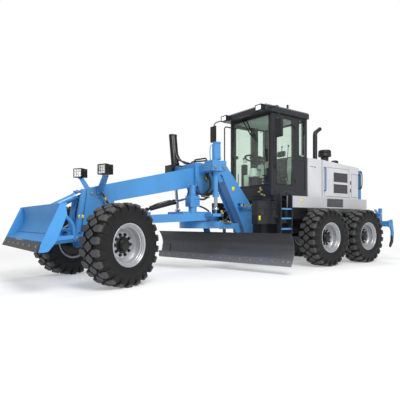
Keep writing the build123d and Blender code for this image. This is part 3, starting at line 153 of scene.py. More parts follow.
def enamel(name, code, rough, edge=0.5, dust_and_sheen_tint="#a8a49a", dust_and_sheen_share=0.06, boxes=(), **values):
    """Sprayed enamel with orange peel, a painted highlight along its edges, a little road dust on upward faces and,
    where that tint's share is large, a painted sheen of the sky.
    """
    material, tree, shader, place = blank(name, **values)
    cloud = add(tree, "TexNoise", None, {"Scale": 1.7, "Detail": 4.0}, {"Vector": place}).outputs["Fac"]
    tone = add(tree, "MapRange", None, {"From Min": 0.35, "From Max": 0.65}, {"Value": cloud}).outputs[0]
    base = mixed(tree, tone, linear(code, 0.93), linear(code, 1.07))
    for box in boxes:
        base = masked(tree, place, base, *box)
    # Upward faces are mixed towards the tint by up to its share: a little road dust on most paints, and on the roof a
    # painted sheen of the sky.
    up = add(tree, "NewGeometry")
    tilt = add(tree, "SeparateXYZ", None, None, {0: up.outputs["Normal"]}).outputs["Z"]
    flat = add(tree, "MapRange", None, {"From Min": 0.4, "From Max": 1.0, "To Max": dust_and_sheen_share},
               {"Value": tilt}).outputs[0]
    base_with_dust_and_sheen = mixed(tree, flat, base, linear(dust_and_sheen_tint))
    soft = add(tree, "Bevel", {"samples": 4}, {"Radius": 0.007}).outputs["Normal"]
    match = add(tree, "VectorMath", {"operation": "DOT_PRODUCT"}, None,
                {0: soft, 1: up.outputs["Normal"]}).outputs["Value"]
    # Painted highlight: where the rounded-edge normal parts from the true one, along plate edges, the paint is mixed by
    # up to the edge share towards a copy 1.6 times as light.
    painted_light_mask = add(tree, "MapRange", None, {"From Min": 0.995, "From Max": 0.75, "To Max": edge},
                 {"Value": match}).outputs[0]
    tree.links.new(mixed(tree, painted_light_mask, base_with_dust_and_sheen, linear(code, 1.6)), shader.inputs["Base Color"])
    peel = add(tree, "TexNoise", None, {"Scale": 85.0, "Detail": 1.0}, {"Vector": place}).outputs["Fac"]
    gloss = add(tree, "MapRange", None, {"To Min": rough - 0.06, "To Max": rough + 0.06}, {"Value": cloud})
    bump = add(tree, "Bump", None, {"Strength": 0.06, "Distance": 0.002}, {"Height": peel, "Normal": soft})
    tree.links.new(gloss.outputs[0], shader.inputs["Roughness"])
    tree.links.new(bump.outputs[0], shader.inputs["Normal"])
    return material


GLOSS = {"Coat_Weight": 0.25, "Coat_Roughness": 0.12}
DIM = {"Specular_IOR_Level": 0.4, "Coat_Weight": 0.08, "Coat_Roughness": 0.15}
blue = enamel("sprayed_enamel_blue", "#4489c4", 0.34, 0.45, dust_and_sheen_share=0.03, **GLOSS)
# The bucket's blue is painted lighter than the frame's, painted light against the shade inside its curve.
bucket_blue_lightened = enamel("sprayed_enamel_bucket", "#4b93d2", 0.5, 0.3, dust_and_sheen_share=0.0, Specular_IOR_Level=0.2)
frame_blue = enamel("sprayed_enamel_frame", "#4489c4", 0.34, 0.45, dust_and_sheen_share=0.03, boxes=(
    ("#1a1a1c", (3500, -1100, 2000), (3980, -700, 2400)), ("#232427", (1700, -400, 500), (2240, 400, 1100))),
    **GLOSS)
deep_blue = enamel("sprayed_enamel_rails", "#2f6ca8", 0.34,
                   boxes=(("#17181a", (-1500, -900, 1800), (-1200, 900, 2500)),))
# The first box makes the hood's lower band a darker grey.
grey = enamel("sprayed_enamel_pale_grey", "#c9cbce", 0.38, 0.25, boxes=(
    ("#b9bbbf", (-1500, -900, 1200), (1800, 900, 1638)), ("#3d7db8", (-1600, -700, 1645), (-1330, 700, 2445))),
    Coat_Weight=0.2, Coat_Roughness=0.15)
dark = enamel("sprayed_enamel_dark_grey", "#26272b", 0.36, 0.5, dust_and_sheen_share=0.1, **DIM)
# The roof's upward faces are painted 80% of the way to a pale blue-grey: a painted sheen of the sky.
roof_grey = enamel("sprayed_enamel_roof_grey", "#292a2f", 0.34, 0.4, dust_and_sheen_tint="#7d8292", dust_and_sheen_share=0.8, **DIM)
black = enamel("sprayed_enamel_black", "#101012", 0.34, 0.5, dust_and_sheen_share=0.02, **DIM)
yellow = enamel("sprayed_enamel_yellow", "#e6c81e", 0.45, 0.2)
print("enamels:", blue.name, grey.name, dark.name, black.name, yellow.name)

# %% [markdown]
# ## Wheel paint
# Rims are dipped in aluminium paint. Its flakes are far finer than can show, so they are drawn as a
# slight sparkle of tone and a part-metal shader, which gives the soft grey ring of light in the dish.

# %% Aluminium paint
def flake_paint(name, code):
    """Aluminium paint: partly metal, with a fine uneven sparkle."""
    material, tree, shader, place = blank(name, Metallic=0.55, Coat_Weight=0.2)
    flakes = add(tree, "TexVoronoi", None, {"Scale": 240.0}, {"Vector": place}).outputs["Color"]
    spark = add(tree, "SeparateColor", None, None, {0: flakes}).outputs[0]
    tree.links.new(mixed(tree, spark, linear(code, 0.9), linear(code, 1.1)), shader.inputs["Base Color"])
    grime = add(tree, "TexNoise", None, {"Scale": 9.0, "Detail": 3.0}, {"Vector": place}).outputs["Fac"]
    rough = add(tree, "MapRange", None, {"To Min": 0.3, "To Max": 0.48}, {"Value": grime}).outputs[0]
    tree.links.new(rough, shader.inputs["Roughness"])
    soft = add(tree, "Bevel", {"samples": 4}, {"Radius": 0.005}).outputs["Normal"]
    tree.links.new(soft, shader.inputs["Normal"])
    return material


silver = flake_paint("aluminium_wheel_paint", "#b4b6ba")
print("wheel paint:", silver.name)

# %% [markdown]
# ## Tyre rubber
# Carbon black makes the rubber near black, but a fine bloom and dust settle on it, so in daylight it
# reads as a warm dark grey. The tops of the blocks are painted paler, a painted sheen of the sky on
# them. The distance from the axle tells a block's top from its foot, so each wheel gets its own copy
# of the finish, with the hub as the middle of a gradient.

# %% Rubber
def tyre_rubber(name, hub):
    """Moulded rubber whose block tops are painted paler, a painted sheen; hub is the wheel's centre in metres."""
    material, tree, shader, place = blank(name, IOR=1.52, Specular_IOR_Level=0.3)
    from_hub = add(tree, "VectorMath", {"operation": "DISTANCE"}, {1: hub}, {0: place}).outputs["Value"]
    top = add(tree, "MapRange", None, {"From Min": 0.655, "From Max": 0.676}, {"Value": from_hub}).outputs[0]
    grain = add(tree, "TexNoise", None, {"Scale": 30.0, "Detail": 5.0}, {"Vector": place}).outputs["Fac"]
    patch = add(tree, "MapRange", None, {"From Min": 0.35, "From Max": 0.65}, {"Value": grain}).outputs[0]
    side = mixed(tree, patch, linear("#0d0d0f"), linear("#161618"))
    # Painted sheen: the block tops are mixed 90% of the way to a paler grey.
    painted_sheen = add(tree, "MapRange", None, {"To Max": 0.9}, {"Value": top}).outputs[0]
    tree.links.new(mixed(tree, painted_sheen, side, linear("#4d4c4c")), shader.inputs["Base Color"])
    rough = add(tree, "MapRange", None, {"To Min": 0.42, "To Max": 0.62}, {"Value": patch}).outputs[0]
    tree.links.new(rough, shader.inputs["Roughness"])
    fine = add(tree, "TexNoise", None, {"Scale": 260.0, "Detail": 2.0}, {"Vector": place}).outputs["Fac"]
    bump = add(tree, "Bump", None, {"Strength": 0.25, "Distance": 0.001}, {"Height": fine})
    tree.links.new(bump.outputs[0], shader.inputs["Normal"])
    return material


print("rubber is made per wheel below")

# %% [markdown]
# ## Bare and plated metals
# Cylinder rods are ground and hard-chromed, so they reflect like a dark mirror with faint marks
# round them. The moldboard is rolled high-carbon steel under thin dark paint, rubbed up and down by
# the soil that rolls over it, and its lower part is painted paler, a painted reflection of the floor.
# Cutting edges are bare heat-treated steel with a blue-black scale.
# Hose fittings are zinc plated with a yellow passivation, which looks like brass.

# %% Metals
def streaked(name, dull, bright, rough, metal, scale, strength, painted_sheen=None):
    """Metal with streaks; scale sets how many there are to a metre along each axis.

    The last argument, when given, is the paler colour the lower part is painted, a painted reflection of the floor,
    with the two heights it fades between."""
    material, tree, shader, place = blank(name, Metallic=metal)
    lines = add(tree, "Mapping", None, {"Scale": scale}, {"Vector": place}).outputs[0]
    streak = add(tree, "TexNoise", None, {"Scale": 1.0, "Detail": 4.0}, {"Vector": lines}).outputs["Fac"]
    wide = add(tree, "MapRange", None, {"From Min": 0.3, "From Max": 0.7}, {"Value": streak}).outputs[0]
    colour = mixed(tree, wide, linear(dull), linear(bright))
    # Painted reflection: below the higher height the colour fades towards the paler one, all the way at the lower.
    if painted_sheen:
        code, low, high = painted_sheen
        height = add(tree, "SeparateXYZ", None, None, {0: place}).outputs[2]
        painted_light_mask = add(tree, "MapRange", None, {"From Min": high, "From Max": low}, {"Value": height}).outputs[0]
        colour = mixed(tree, painted_light_mask, colour, linear(code))
    tree.links.new(colour, shader.inputs["Base Color"])
    gloss = add(tree, "MapRange", None, {"To Min": rough * 0.75, "To Max": rough * 1.25}, {"Value": wide})
    tree.links.new(gloss.outputs[0], shader.inputs["Roughness"])
    soft = add(tree, "Bevel", {"samples": 4}, {"Radius": 0.004}).outputs["Normal"]
    bump = add(tree, "Bump", None, {"Strength": strength, "Distance": 0.001}, {"Height": streak, "Normal": soft})
    tree.links.new(bump.outputs[0], shader.inputs["Normal"])
    return material


chrome = streaked("hard_chrome_ground", "#c4c7ca", "#dfe1e3", 0.12, 1.0, (12, 12, 160), 0.02)
# The moldboard and cutting edge are painted paler from 0.62 m down to 0.2 m: a painted reflection of the floor in the
# plate.
board_steel = streaked("rolled_steel_dark", "#2f3034", "#38393e", 0.34, 0.4, (90, 90, 3), 0.05,
                       ("#77797f", 0.2, 0.62))
edge_steel = streaked("heat_treated_edge_steel", "#3a3a3d", "#4a4a4c", 0.4, 0.6, (40, 40, 40), 0.3)
brass = streaked("zinc_yellow_passivated", "#b08f45", "#e6cc86", 0.3, 0.9, (60, 60, 60), 0.1)
zinc = streaked("zinc_plated_bolt", "#8f9194", "#b9bbbe", 0.32, 0.9, (70, 70, 70), 0.1)
print("metals:", chrome.name, board_steel.name, edge_steel.name, brass.name, zinc.name)

# %% [markdown]
# ## Plastics, hose and lamp glass
# Handles, fans of the air cleaner, consoles and hose covers are black, but each has its own surface:
# a moulded grain of about 1 mm, drawn here at 4 mm, or the cloth print left on a wrapped hose.

# %% Plastics and hose
def grained(name, code, rough, scale, strength, **values):
    """Moulded plastic or rubber with a leather-like grain."""
    material, tree, shader, place = blank(name, **values)
    cells = add(tree, "TexVoronoi", None, {"Scale": scale}, {"Vector": place}).outputs["Distance"]
    cloud = add(tree, "TexNoise", None, {"Scale": 6.0}, {"Vector": place}).outputs["Fac"]
    tree.links.new(mixed(tree, cloud, linear(code, 0.8), linear(code, 1.25)), shader.inputs["Base Color"])
    gloss = add(tree, "MapRange", None, {"To Min": rough - 0.08, "To Max": rough + 0.08}, {"Value": cloud})
    tree.links.new(gloss.outputs[0], shader.inputs["Roughness"])
    soft = add(tree, "Bevel", {"samples": 4}, {"Radius": 0.006}).outputs["Normal"]
    bump = add(tree, "Bump", None, {"Strength": strength, "Distance": 0.001}, {"Height": cells, "Normal": soft})
    tree.links.new(bump.outputs[0], shader.inputs["Normal"])
    return material


plastic = grained("moulded_plastic_black", "#17171a", 0.5, 250.0, 0.25)
gasket_rubber = grained("extruded_rubber_seal", "#161617", 0.6, 120.0, 0.1)
hose_cover = grained("wrapped_hose_cover", "#1b1b1d", 0.42, 180.0, 0.35, Coat_Weight=0.2)
mesh_black = grained("punched_screen_black", "#202124", 0.5, 90.0, 0.3)
lining = grained("vacuum_formed_lining_grey", "#d3ddd7", 0.6, 120.0, 0.15)

punched, tree, shader, place = blank("punched_steel_sheet", Roughness=0.45)
holes = add(tree, "TexVoronoi", None, {"Scale": 44.0, "Randomness": 0.35}, {"Vector": place}).outputs["Distance"]
rim_of = add(tree, "MapRange", None, {"From Min": 0.4, "From Max": 0.5}, {"Value": holes}).outputs[0]
tree.links.new(mixed(tree, rim_of, linear("#19191b"), linear("#5c5b5a")), shader.inputs["Base Color"])
print("plastics:", plastic.name, gasket_rubber.name, hose_cover.name, mesh_black.name)

# %% [markdown]
# ## Window glass
# Cab glass is toughened float glass with a pale green body tint that cuts the sun's heat. A pane
# bends the view very little, so daylight must reach the seat: shadow rays pass through the tint
# instead of being stopped, which a plain glass shader would do.

# %% Tinted glass and lamp glass
glass, tree, shader, place = blank("toughened_green_tint_glass", Transmission_Weight=1.0, IOR=1.45,
                                   Specular_IOR_Level=0.2)
smear = add(tree, "TexNoise", None, {"Scale": 3.0, "Detail": 3.0}, {"Vector": place}).outputs["Fac"]
tree.links.new(mixed(tree, smear, linear("#e0ede4"), linear("#e9f3ec")), shader.inputs["Base Color"])
haze = add(tree, "MapRange", None, {"To Min": 0.0, "To Max": 0.05}, {"Value": smear}).outputs[0]
tree.links.new(haze, shader.inputs["Roughness"])
clear = add(tree, "BsdfTransparent", None, {"Color": linear("#e6f1e9")}).outputs[0]
daylight = add(tree, "LightPath").outputs["Is Shadow Ray"]
through = add(tree, "MixShader", None, None, {0: daylight, 1: shader.outputs[0], 2: clear}).outputs[0]
tree.links.new(through, tree.nodes["Material Output"].inputs["Surface"])

# The reflectors have a faint white glow of their own, a painted glow that keeps their faces bright.
lamp_glass, tree, shader, place = blank("lamp_reflector", Metallic=0.3, Roughness=0.12, Coat_Weight=1.0,
                                        Emission_Color=linear("#ffffff"), Emission_Strength=0.7)
ribs = add(tree, "TexWave", {"bands_direction": "Z"}, {"Scale": 30.0}, {"Vector": place}).outputs["Fac"]
tree.links.new(mixed(tree, ribs, linear("#d8dde2"), linear("#ffffff")), shader.inputs["Base Color"])

mirror_glass, tree, shader, place = blank("silvered_mirror", Metallic=1.0, Roughness=0.03)
dust = add(tree, "TexNoise", None, {"Scale": 12.0}, {"Vector": place}).outputs["Fac"]
tree.links.new(mixed(tree, dust, linear("#c3cad0"), linear("#d6dce0")), shader.inputs["Base Color"])
print("glass:", glass.name, lamp_glass.name, mirror_glass.name)

# %% [markdown]
# ## Seat cloth
# The seat is upholstered in a dark basket weave. Threads about 1 mm apart would vanish here, so the
# weave is drawn at 5 mm by crossing two waves. Sheen is the light caught by loose fibre ends.

# %% Seat cloth
cloth, tree, shader, place = blank("woven_polyester_seat_cloth", Roughness=0.85, Sheen_Weight=0.4)
warp = add(tree, "TexWave", {"bands_direction": "Y"}, {"Scale": 60.0}, {"Vector": place}).outputs["Fac"]
weft = add(tree, "TexWave", {"bands_direction": "Z"}, {"Scale": 60.0}, {"Vector": place}).outputs["Fac"]
weave = add(tree, "Math", {"operation": "MULTIPLY"}, None, {0: warp, 1: weft}).outputs[0]
tree.links.new(mixed(tree, weave, linear("#26272b"), linear("#43454c")), shader.inputs["Base Color"])
bump = add(tree, "Bump", None, {"Strength": 0.4, "Distance": 0.002}, {"Height": weave})
tree.links.new(bump.outputs[0], shader.inputs["Normal"])
print("cloth:", cloth.name)

# %% [markdown]
# ## Finish on the solids
# Each solid takes one finish. The frame, blade gear and front blade are blue, the hood pale grey,
# and the cab, platform and ladders dark, so a table of the exceptions is the shortest way to say it.

# %% Finish the solids
FINISH = {
    "rear_frame": dark, "tandem_cases": black, "engine": black, "side_boxes": dark, "ladders": dark,
    "hood": grey, "grilles": mesh_black, "hood_rails": deep_blue, "front_frame": frame_blue,
    "stacks": plastic, "cab_frame": dark, "cab_roof": roof_grey,
    "cab_glass": glass, "cab_controls": plastic, "cab_fittings": plastic, "cab_seat": cloth,
    "door_left": dark, "door_right": dark, "door_glass_left": glass, "door_glass_right": glass,
    "work_lamps": black, "hoses": hose_cover, "moldboard": board_steel, "cutting_edge": board_steel,
    "bucket_edge": edge_steel, "lift_right_barrel": black, "shift_barrel": black,
    "steer_left_barrel": black, "steer_right_barrel": black, "ripper_lift_barrel": black,
    "front_axle": blue, "knuckle_left": blue, "knuckle_right": blue,
}
for name, solid in nodes.items():
    finish = chrome if name.endswith("_rod") else FINISH.get(name, blue)
    solid.data.materials.clear()
    solid.data.materials.append(finish)
print("finished solids:", len(nodes))

# %% [markdown]
# ## How pieces are made
# A piece starts in bmesh, Blender's mesh workshop, from one of its simple shapes, and ends as an
# object that rides on one body of the machine. Its mesh is built in place, so the object itself is
# never moved. These few shapes serve for everything from lamp glass to wheel nuts.

# %% Shapes in millimetres
def block(bm, x, y, z, round_by=0.0, material=0):
    """Block between a low and a high value on each axis, with its edges rounded."""
    low, high = at(x[0], y[0], z[0]), at(x[1], y[1], z[1])
    place = Matrix.Translation((low + high) / 2) @ Matrix.Diagonal((*(high - low), 1.0))
    corners = bmesh.ops.create_cube(bm, size=1.0, matrix=place)["verts"]
    for face in {face for corner in corners for face in corner.link_faces}:
        face.material_index = material
    if round_by:
        edges = list({edge for corner in corners for edge in corner.link_edges})
        bmesh.ops.bevel(bm, geom=edges, offset=round_by / 1000, segments=2, profile=0.5,
                        affect="EDGES", material=-1)


def rod(bm, start, end, radius, sides=16, end_radius=None, material=0):
    """Round or many-sided bar between two points."""
    p, q = at(*start), at(*end)
    turn = (q - p).to_track_quat("Z", "Y").to_matrix().to_4x4()
    end_radius = radius if end_radius is None else end_radius
    corners = bmesh.ops.create_cone(bm, cap_ends=True, segments=sides, radius1=radius / 1000,
                                    radius2=end_radius / 1000, depth=(q - p).length,
                                    matrix=Matrix.Translation((p + q) / 2) @ turn)["verts"]
    for face in {face for corner in corners for face in corner.link_faces}:
        face.material_index = material


def bolt(bm, seat, way, across, material=0):
    """Hexagon head on a washer, standing on seat and pointing along way."""
    seat, way = Vector(seat), Vector(way).normalized()
    rod(bm, seat - way * 2, seat + way * across * 0.14, across * 0.72, 20, material=material)
    rod(bm, seat, seat + way * across * 0.62, across * 0.56, 6, across * 0.5, material=material)


def outline_plate(bm, corners, way, material=0):
    """Flat outline pushed along way, both in millimetres."""
    face = bm.faces.new([bm.verts.new(at(*corner)) for corner in corners])
    grown = bmesh.ops.extrude_face_region(bm, geom=[face])["geom"]
    bmesh.ops.translate(bm, verts=[item for item in grown if isinstance(item, bmesh.types.BMVert)],
                        vec=Vector(way) / 1000)
    side_faces = {near for item in grown if isinstance(item, bmesh.types.BMFace)
                  for edge in item.edges for near in edge.link_faces}
    for item in side_faces | {face}:
        item.material_index = material


def spun(bm, profile, steps, closed, material=0):
    """Turn a profile of (distance along the axle, radius) about the axle, which is Y."""
    verts = [bm.verts.new((0, a / 1000, -r / 1000)) for a, r in profile]
    pairs = list(zip(verts, verts[1:])) + ([(verts[-1], verts[0])] if closed else [])
    edges = [bm.edges.new(pair) for pair in pairs]
    old = set(bm.faces)
    bmesh.ops.spin(bm, geom=verts + edges, cent=(0, 0, 0), axis=(0, 1, 0), dvec=(0, 0, 0),
                   angle=math.tau, steps=steps, use_merge=True)
    for face in set(bm.faces) - old:
        face.material_index = material


def frame_of(bm, corners, width, proud, material=0):
    """Rubber or metal frame along the inside of an outline, standing proud of it."""
    face = bm.faces.new([bm.verts.new(at(*corner)) for corner in corners])
    face.normal_update()
    out = face.normal * proud / 1000
    ring = bmesh.ops.inset_region(bm, faces=[face], thickness=width / 1000, use_even_offset=True,
                                  use_boundary=True)["faces"]
    bmesh.ops.delete(bm, geom=[face], context="FACES")
    grown = bmesh.ops.extrude_face_region(bm, geom=ring)["geom"]
    bmesh.ops.translate(bm, verts=[item for item in grown if isinstance(item, bmesh.types.BMVert)], vec=out)
    for item in {near for vert in grown if isinstance(vert, bmesh.types.BMVert) for near in vert.link_faces}:
        item.material_index = material


print("shapes: block, rod, bolt, outline_plate, spun, frame_of")

# %% [markdown]
# ## Finishing a piece
# Every rigid piece ends the same way: doubled corners are joined, faces are turned outwards, and
# the mesh is fixed to one body of the machine. Edges sharper than the crease angle stay sharp, as a
# folded or machined edge does, and the rest is shaded smooth. The triangle count is printed because
# a piece that says nought has lost its faces.

# %% Finish a piece
def settle(name, bm, materials, body, replaces=(), crease=35.0, place=None):
    """Make the mesh an object that rides on a body, and say how many triangles it has."""
    bmesh.ops.remove_doubles(bm, verts=bm.verts, dist=1e-6)
    bmesh.ops.recalc_face_normals(bm, faces=bm.faces)
    if place is not None:
        bm.transform(place)
    mesh = bpy.data.meshes.new(name)
    bm.to_mesh(mesh)
    bm.free()
    for material in materials:
        mesh.materials.append(material)
    mesh.shade_smooth()
    mesh.set_sharp_from_angle(angle=math.radians(crease))
    piece = bpy.data.objects.new(name, mesh)
    scene.collection.objects.link(piece)
    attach(piece, body)
    if replaces:
        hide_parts(*replaces)
    mesh.calc_loop_triangles()
    print(name, "triangles:", len(mesh.loop_triangles))
    return piece


# %% [markdown]
# ## Tyres
# A grader tyre is a tall, narrow-section earthmover tyre. Its tread has three rows: a five-sided
# lug at each shoulder, pointing in, whose leg runs well down the wall, and a row of diamonds
# between them, half a step on. Twenty-two steps make 193 mm between lugs. One set of blocks is
# drawn at the foot of the tyre and copied round by the spin tool; the carcass is its section, spun.

# %% Tyre mesh
LUGS = 22
TREAD_R = 640.0
TYRE_R = 675.0
WALL = [(100, 641), (150, 639), (180, 633), (198, 618), (206, 600), (213, 560), (218, 520), (220.5, 480),
        (219, 445), (213, 410), (207, 385), (206, 374), (208, 368), (206, 362), (199, 357), (191, 351),
        (188, 340), (187, 318)]


def tread_block(bm, outline, shrink):
    """Block of rubber on the tread, from its outline of (round the tyre, along the axle)."""
    foot = [bm.verts.new((t / 1000, a / 1000, -(TREAD_R - 8) / 1000)) for t, a in outline]
    face = bm.faces.new(foot)
    grown = bmesh.ops.extrude_face_region(bm, geom=[face])["geom"]
    top = [item for item in grown if isinstance(item, bmesh.types.BMVert)]
    bmesh.ops.translate(bm, verts=top, vec=(0, 0, -(TYRE_R - TREAD_R + 8) / 1000))
    middle = sum((vert.co for vert in top), Vector()) / len(top)
    bmesh.ops.scale(bm, verts=top, vec=(shrink, shrink, 1), space=Matrix.Translation(-middle))
    return foot + top


def leg(bm, side):
    """Leg of a shoulder lug, down the wall."""
    outline = [(184, 673.5), (209, 671), (219, 640), (224, 590), (223, 540), (219, 508), (206, 520), (186, 620)]
    verts = [bm.verts.new((-0.05, side * a / 1000, -r / 1000)) for a, r in outline]
    grown = bmesh.ops.extrude_face_region(bm, geom=[bm.faces.new(verts)])["geom"]
    far = [item for item in grown if isinstance(item, bmesh.types.BMVert)]
    bmesh.ops.translate(bm, verts=far, vec=(0.1, 0, 0))
    low = [vert for vert in verts + far if vert.co.z > -0.56]
    bmesh.ops.scale(bm, verts=low, vec=(0.72, 1, 1))
    return verts + far


def rounded(bm, verts, offset, segments=1):
    """Round every edge of the blocks that these corners belong to."""
    edges = list({edge for vert in verts for edge in vert.link_edges})
    bmesh.ops.bevel(bm, geom=edges, offset=offset / 1000, segments=segments, profile=0.5,
                    affect="EDGES", material=-1)


def tyre_bmesh():
    """One tyre about its own centre, its axle along Y."""
    bm = bmesh.new()
    step = math.tau / LUGS
    for side in (1, -1):
        verts = tread_block(bm, [(0, side * 38), (57, side * 92), (60, side * 196), (-60, side * 196),
                                 (-57, side * 92)], 0.93)
        rounded(bm, verts, 5.0)
        rounded(bm, leg(bm, side), 6.0)
    verts = tread_block(bm, [(84, 0), (20, 78), (-20, 78), (-84, 0), (-20, -78), (20, -78)], 0.93)
    bmesh.ops.rotate(bm, verts=verts, cent=(0, 0, 0), matrix=Matrix.Rotation(step / 2, 3, "Y"))
    rounded(bm, verts, 5.0)
    bmesh.ops.spin(bm, geom=bm.verts[:] + bm.edges[:] + bm.faces[:], cent=(0, 0, 0), axis=(0, 1, 0),
                   dvec=(0, 0, 0), angle=math.tau - step, steps=LUGS - 1, use_duplicate=True)
    section = [(-a, r) for a, r in reversed(WALL)] + [(0, 642)] + WALL
    spun(bm, section, 88, True)
    return bm


sample = tyre_bmesh()
print("tyre faces:", len(sample.faces))
sample.free()

# %% [markdown]
# ## Tyres on their wheels
# The middle and rear tyres stand at the track's half width. A front tyre stands on a steering
# knuckle that turns about a kingpin 800 mm out, so its centre swings round that pin with the angle
# at which the machine is parked. Each has its own rubber, so that the painted sheen on its block
# tops lies round its own axle.

# %% Fit the tyres
STEERED = 17.5
SPINDLE = 275.0
OFF_X, OFF_Y = SPINDLE * math.sin(math.radians(STEERED)), SPINDLE * math.cos(math.radians(STEERED))
WHEELS = {                # drawing's centre x and y, degrees turned, body
    "fl": (6050 - OFF_X, 800 + OFF_Y, STEERED, "wheel_front_left"),
    "fr": (6050 + OFF_X, -800 - OFF_Y, STEERED + 180, "wheel_front_right"),
    "ml": (770, 1075, 0, "wheel_middle_left"), "mr": (770, -1075, 180, "wheel_middle_right"),
    "rl": (-770, 1075, 0, "wheel_rear_left"), "rr": (-770, -1075, 180, "wheel_rear_right"),
}


def wheel_place(key):
    """Where a wheel's own centre and turn are in the scene."""
    x, y, turn, body = WHEELS[key]
    return Matrix.Translation(at(x, y, TYRE_R)) @ Matrix.Rotation(math.radians(turn), 4, "Z")


for key, (x, y, turn, body) in WHEELS.items():
    rubber = tyre_rubber(f"moulded_tyre_rubber_{key}", at(x, y, TYRE_R))
    settle(f"tread_{key}", tyre_bmesh(), [rubber], body, [f"tyre_{key}"], 30,
           wheel_place(key))

# %% [markdown]
# ## Wheels
# The steel wheel has a rolled flange, a loose lock ring just inside it, and a disc set deep in the
# dish, where ten black nuts hold it to a black hub with a domed cap. Each ring is a profile spun
# about the axle. The flange curls over the tyre's bead, so its section is a closed loop.

# %% Wheels
RIM_RING = [(201, 349), (197, 353), (190, 351), (188, 344), (188, 321), (186, 317.6), (-186, 317.6),
            (-188, 344), (-197, 353), (-203, 346), (-196, 322), (-176, 310), (60, 300), (118, 300),
            (128, 290), (138, 288), (146, 294), (150, 304), (172, 308), (180, 316), (186, 327), (198, 336)]
DISC = [(26, 302), (12, 292), (6, 262), (12, 232), (24, 214), (26, 120), (12, 120), (10, 214),
        (-4, 232), (-10, 262), (-2, 296), (12, 302)]
HUB = [(-60, 57), (-60, 136), (36, 136), (44, 128), (46, 114), (80, 106), (90, 98), (92, 92), (108, 86),
       (113, 74), (115, 40), (115, 0.0)]
NUT_RING_R = 167.5

for key, (x, y, turn, body) in WHEELS.items():
    bm = bmesh.new()
    spun(bm, RIM_RING, 72, True)
    spun(bm, DISC, 72, True)
    spun(bm, HUB, 48, False, 1)
    # A black drum behind the disc closes the wheel's inner side: it stands for the brake drum, and it also puts painted
    # shade inside the wheel.
    spun(bm, [(-34, 0), (-34, 278), (-150, 278), (-150, 0)], 48, False, 1)
    turned = Matrix.Translation(at(0, 0, 0)).inverted()
    nuts = bmesh.new()
    for i in range(10):
        angle = math.tau * i / 10
        spot = (NUT_RING_R * math.cos(angle), 0, NUT_RING_R * math.sin(angle))
        rod(nuts, (spot[0], 22, spot[2]), (spot[0], 31, spot[2]), 30, 16)
        rod(nuts, (spot[0], 29, spot[2]), (spot[0], 52, spot[2]), 25, 6, 22)
        rod(nuts, (spot[0], 50, spot[2]), (spot[0], 64, spot[2]), 12, 8, 10)
    nuts.transform(turned)
    joined = bpy.data.meshes.new("nuts")
    nuts.to_mesh(joined)
    nuts.free()
    first = len(bm.faces)
    bm.from_mesh(joined)
    bpy.data.meshes.remove(joined)
    bm.faces.ensure_lookup_table()
    for face in bm.faces[first:]:
        face.material_index = 1
    settle(f"wheel_{key}", bm, [silver, black], body, [f"rim_{key}"], 30, wheel_place(key))

# %% [markdown]
# ## Lamps
# Each work lamp is a finned aluminium box with nine reflectors behind clear glass. A three-by-three
# grid is inset face by face and its middles pushed in, which gives all nine in two operations.
# The two on the roof's front edge are the same kind with four reflectors.

# %% Lamp faces
def lamp_face(bm, x, y, z, wide, high, across, up, material=1):
    """Grid of reflectors facing forward, middle at x, y, z."""
    tilt = Matrix.Rotation(math.radians(90), 4, "Y")
    place = Matrix.Translation(at(x, y, z)) @ Matrix.Diagonal((1, wide / 1000, high / 1000, 1)) @ tilt
    made = bmesh.ops.create_grid(bm, x_segments=up, y_segments=across, size=0.5, matrix=place)["verts"]
    cells = list({face for vert in made for face in vert.link_faces})
    bmesh.ops.inset_individual(bm, faces=cells, thickness=0.0028, use_even_offset=True)
    for cell in cells:
        cell.material_index = material
    deep = list({vert for cell in cells for vert in cell.verts})
    bmesh.ops.translate(bm, verts=deep, vec=(-0.004, 0, 0))


MX = MIDDLE_X
for side, y, z, turn in (("left", 600, 1842, 20), ("right", -600, 1892, 30)):
    bm = bmesh.new()
    block(bm, (MX - 14, MX + 72), (-100, 100), (0, 178), 12)
    block(bm, (MX - 26, MX - 12), (-82, 82), (20, 158), 0)
    block(bm, (MX - 104, MX - 24), (-90, 90), (12, 166), 6)
    for i in range(4):
        block(bm, (MX - 98 + 20 * i, MX - 88 + 20 * i), (-97, 97), (5, 173), 3)
    lamp_face(bm, MX + 76, 0, 89, 168, 146, 3, 3)
    frame_of(bm, [(MX + 72, -98, 2), (MX + 72, 98, 2), (MX + 72, 98, 176), (MX + 72, -98, 176)], 14, 7)
    rod(bm, (MX - 5, 18, -28), (MX - 5, 18, 2), 20, 12, material=2)
    rod(bm, (MX - 60, -16, -22), (MX - 60, -16, 14), 17, 12, material=2)
    place = Matrix.Translation(at(6050, y, z)) @ Matrix.Rotation(math.radians(turn), 4, "Z")
    settle(f"work_lamp_{side}", bm, [black, lamp_glass, brass], "front_chassis", ["work_lamps"],
           place=place)

bm = bmesh.new()
for s in (1, -1):
    foot = 1832 if s > 0 else 1880
    rod(bm, (5990, s * 236, 1585), (6030, s * 585, foot), 66, 4, 54)
    block(bm, (5950, 6060), sorted((s * 236, s * 262)), (1520, 1650), 8)
    block(bm, (6005, 6080), sorted((s * 550, s * 630)), (foot - 12, foot + 12), 5)
settle("lamp_stalks", bm, [blue], "front_chassis", ["work_lamps"])

bm = bmesh.new()
for y in (600, -600):
    lamp_face(bm, 2469, y, 3572, 160, 100, 2, 1)
    frame_of(bm, [(2466, y - 92, 3513), (2466, y + 92, 3513), (2466, y + 92, 3631), (2466, y - 92, 3631)], 8, 3)
settle("roof_lamp_faces", bm, [black, lamp_glass], "rear_chassis")

# %% [markdown]
# ## Cab seals
# Panes sit in extruded rubber that stands a few millimetres proud of the wall, and doors close on
# a bulb seal. Both are frames inside an outline.

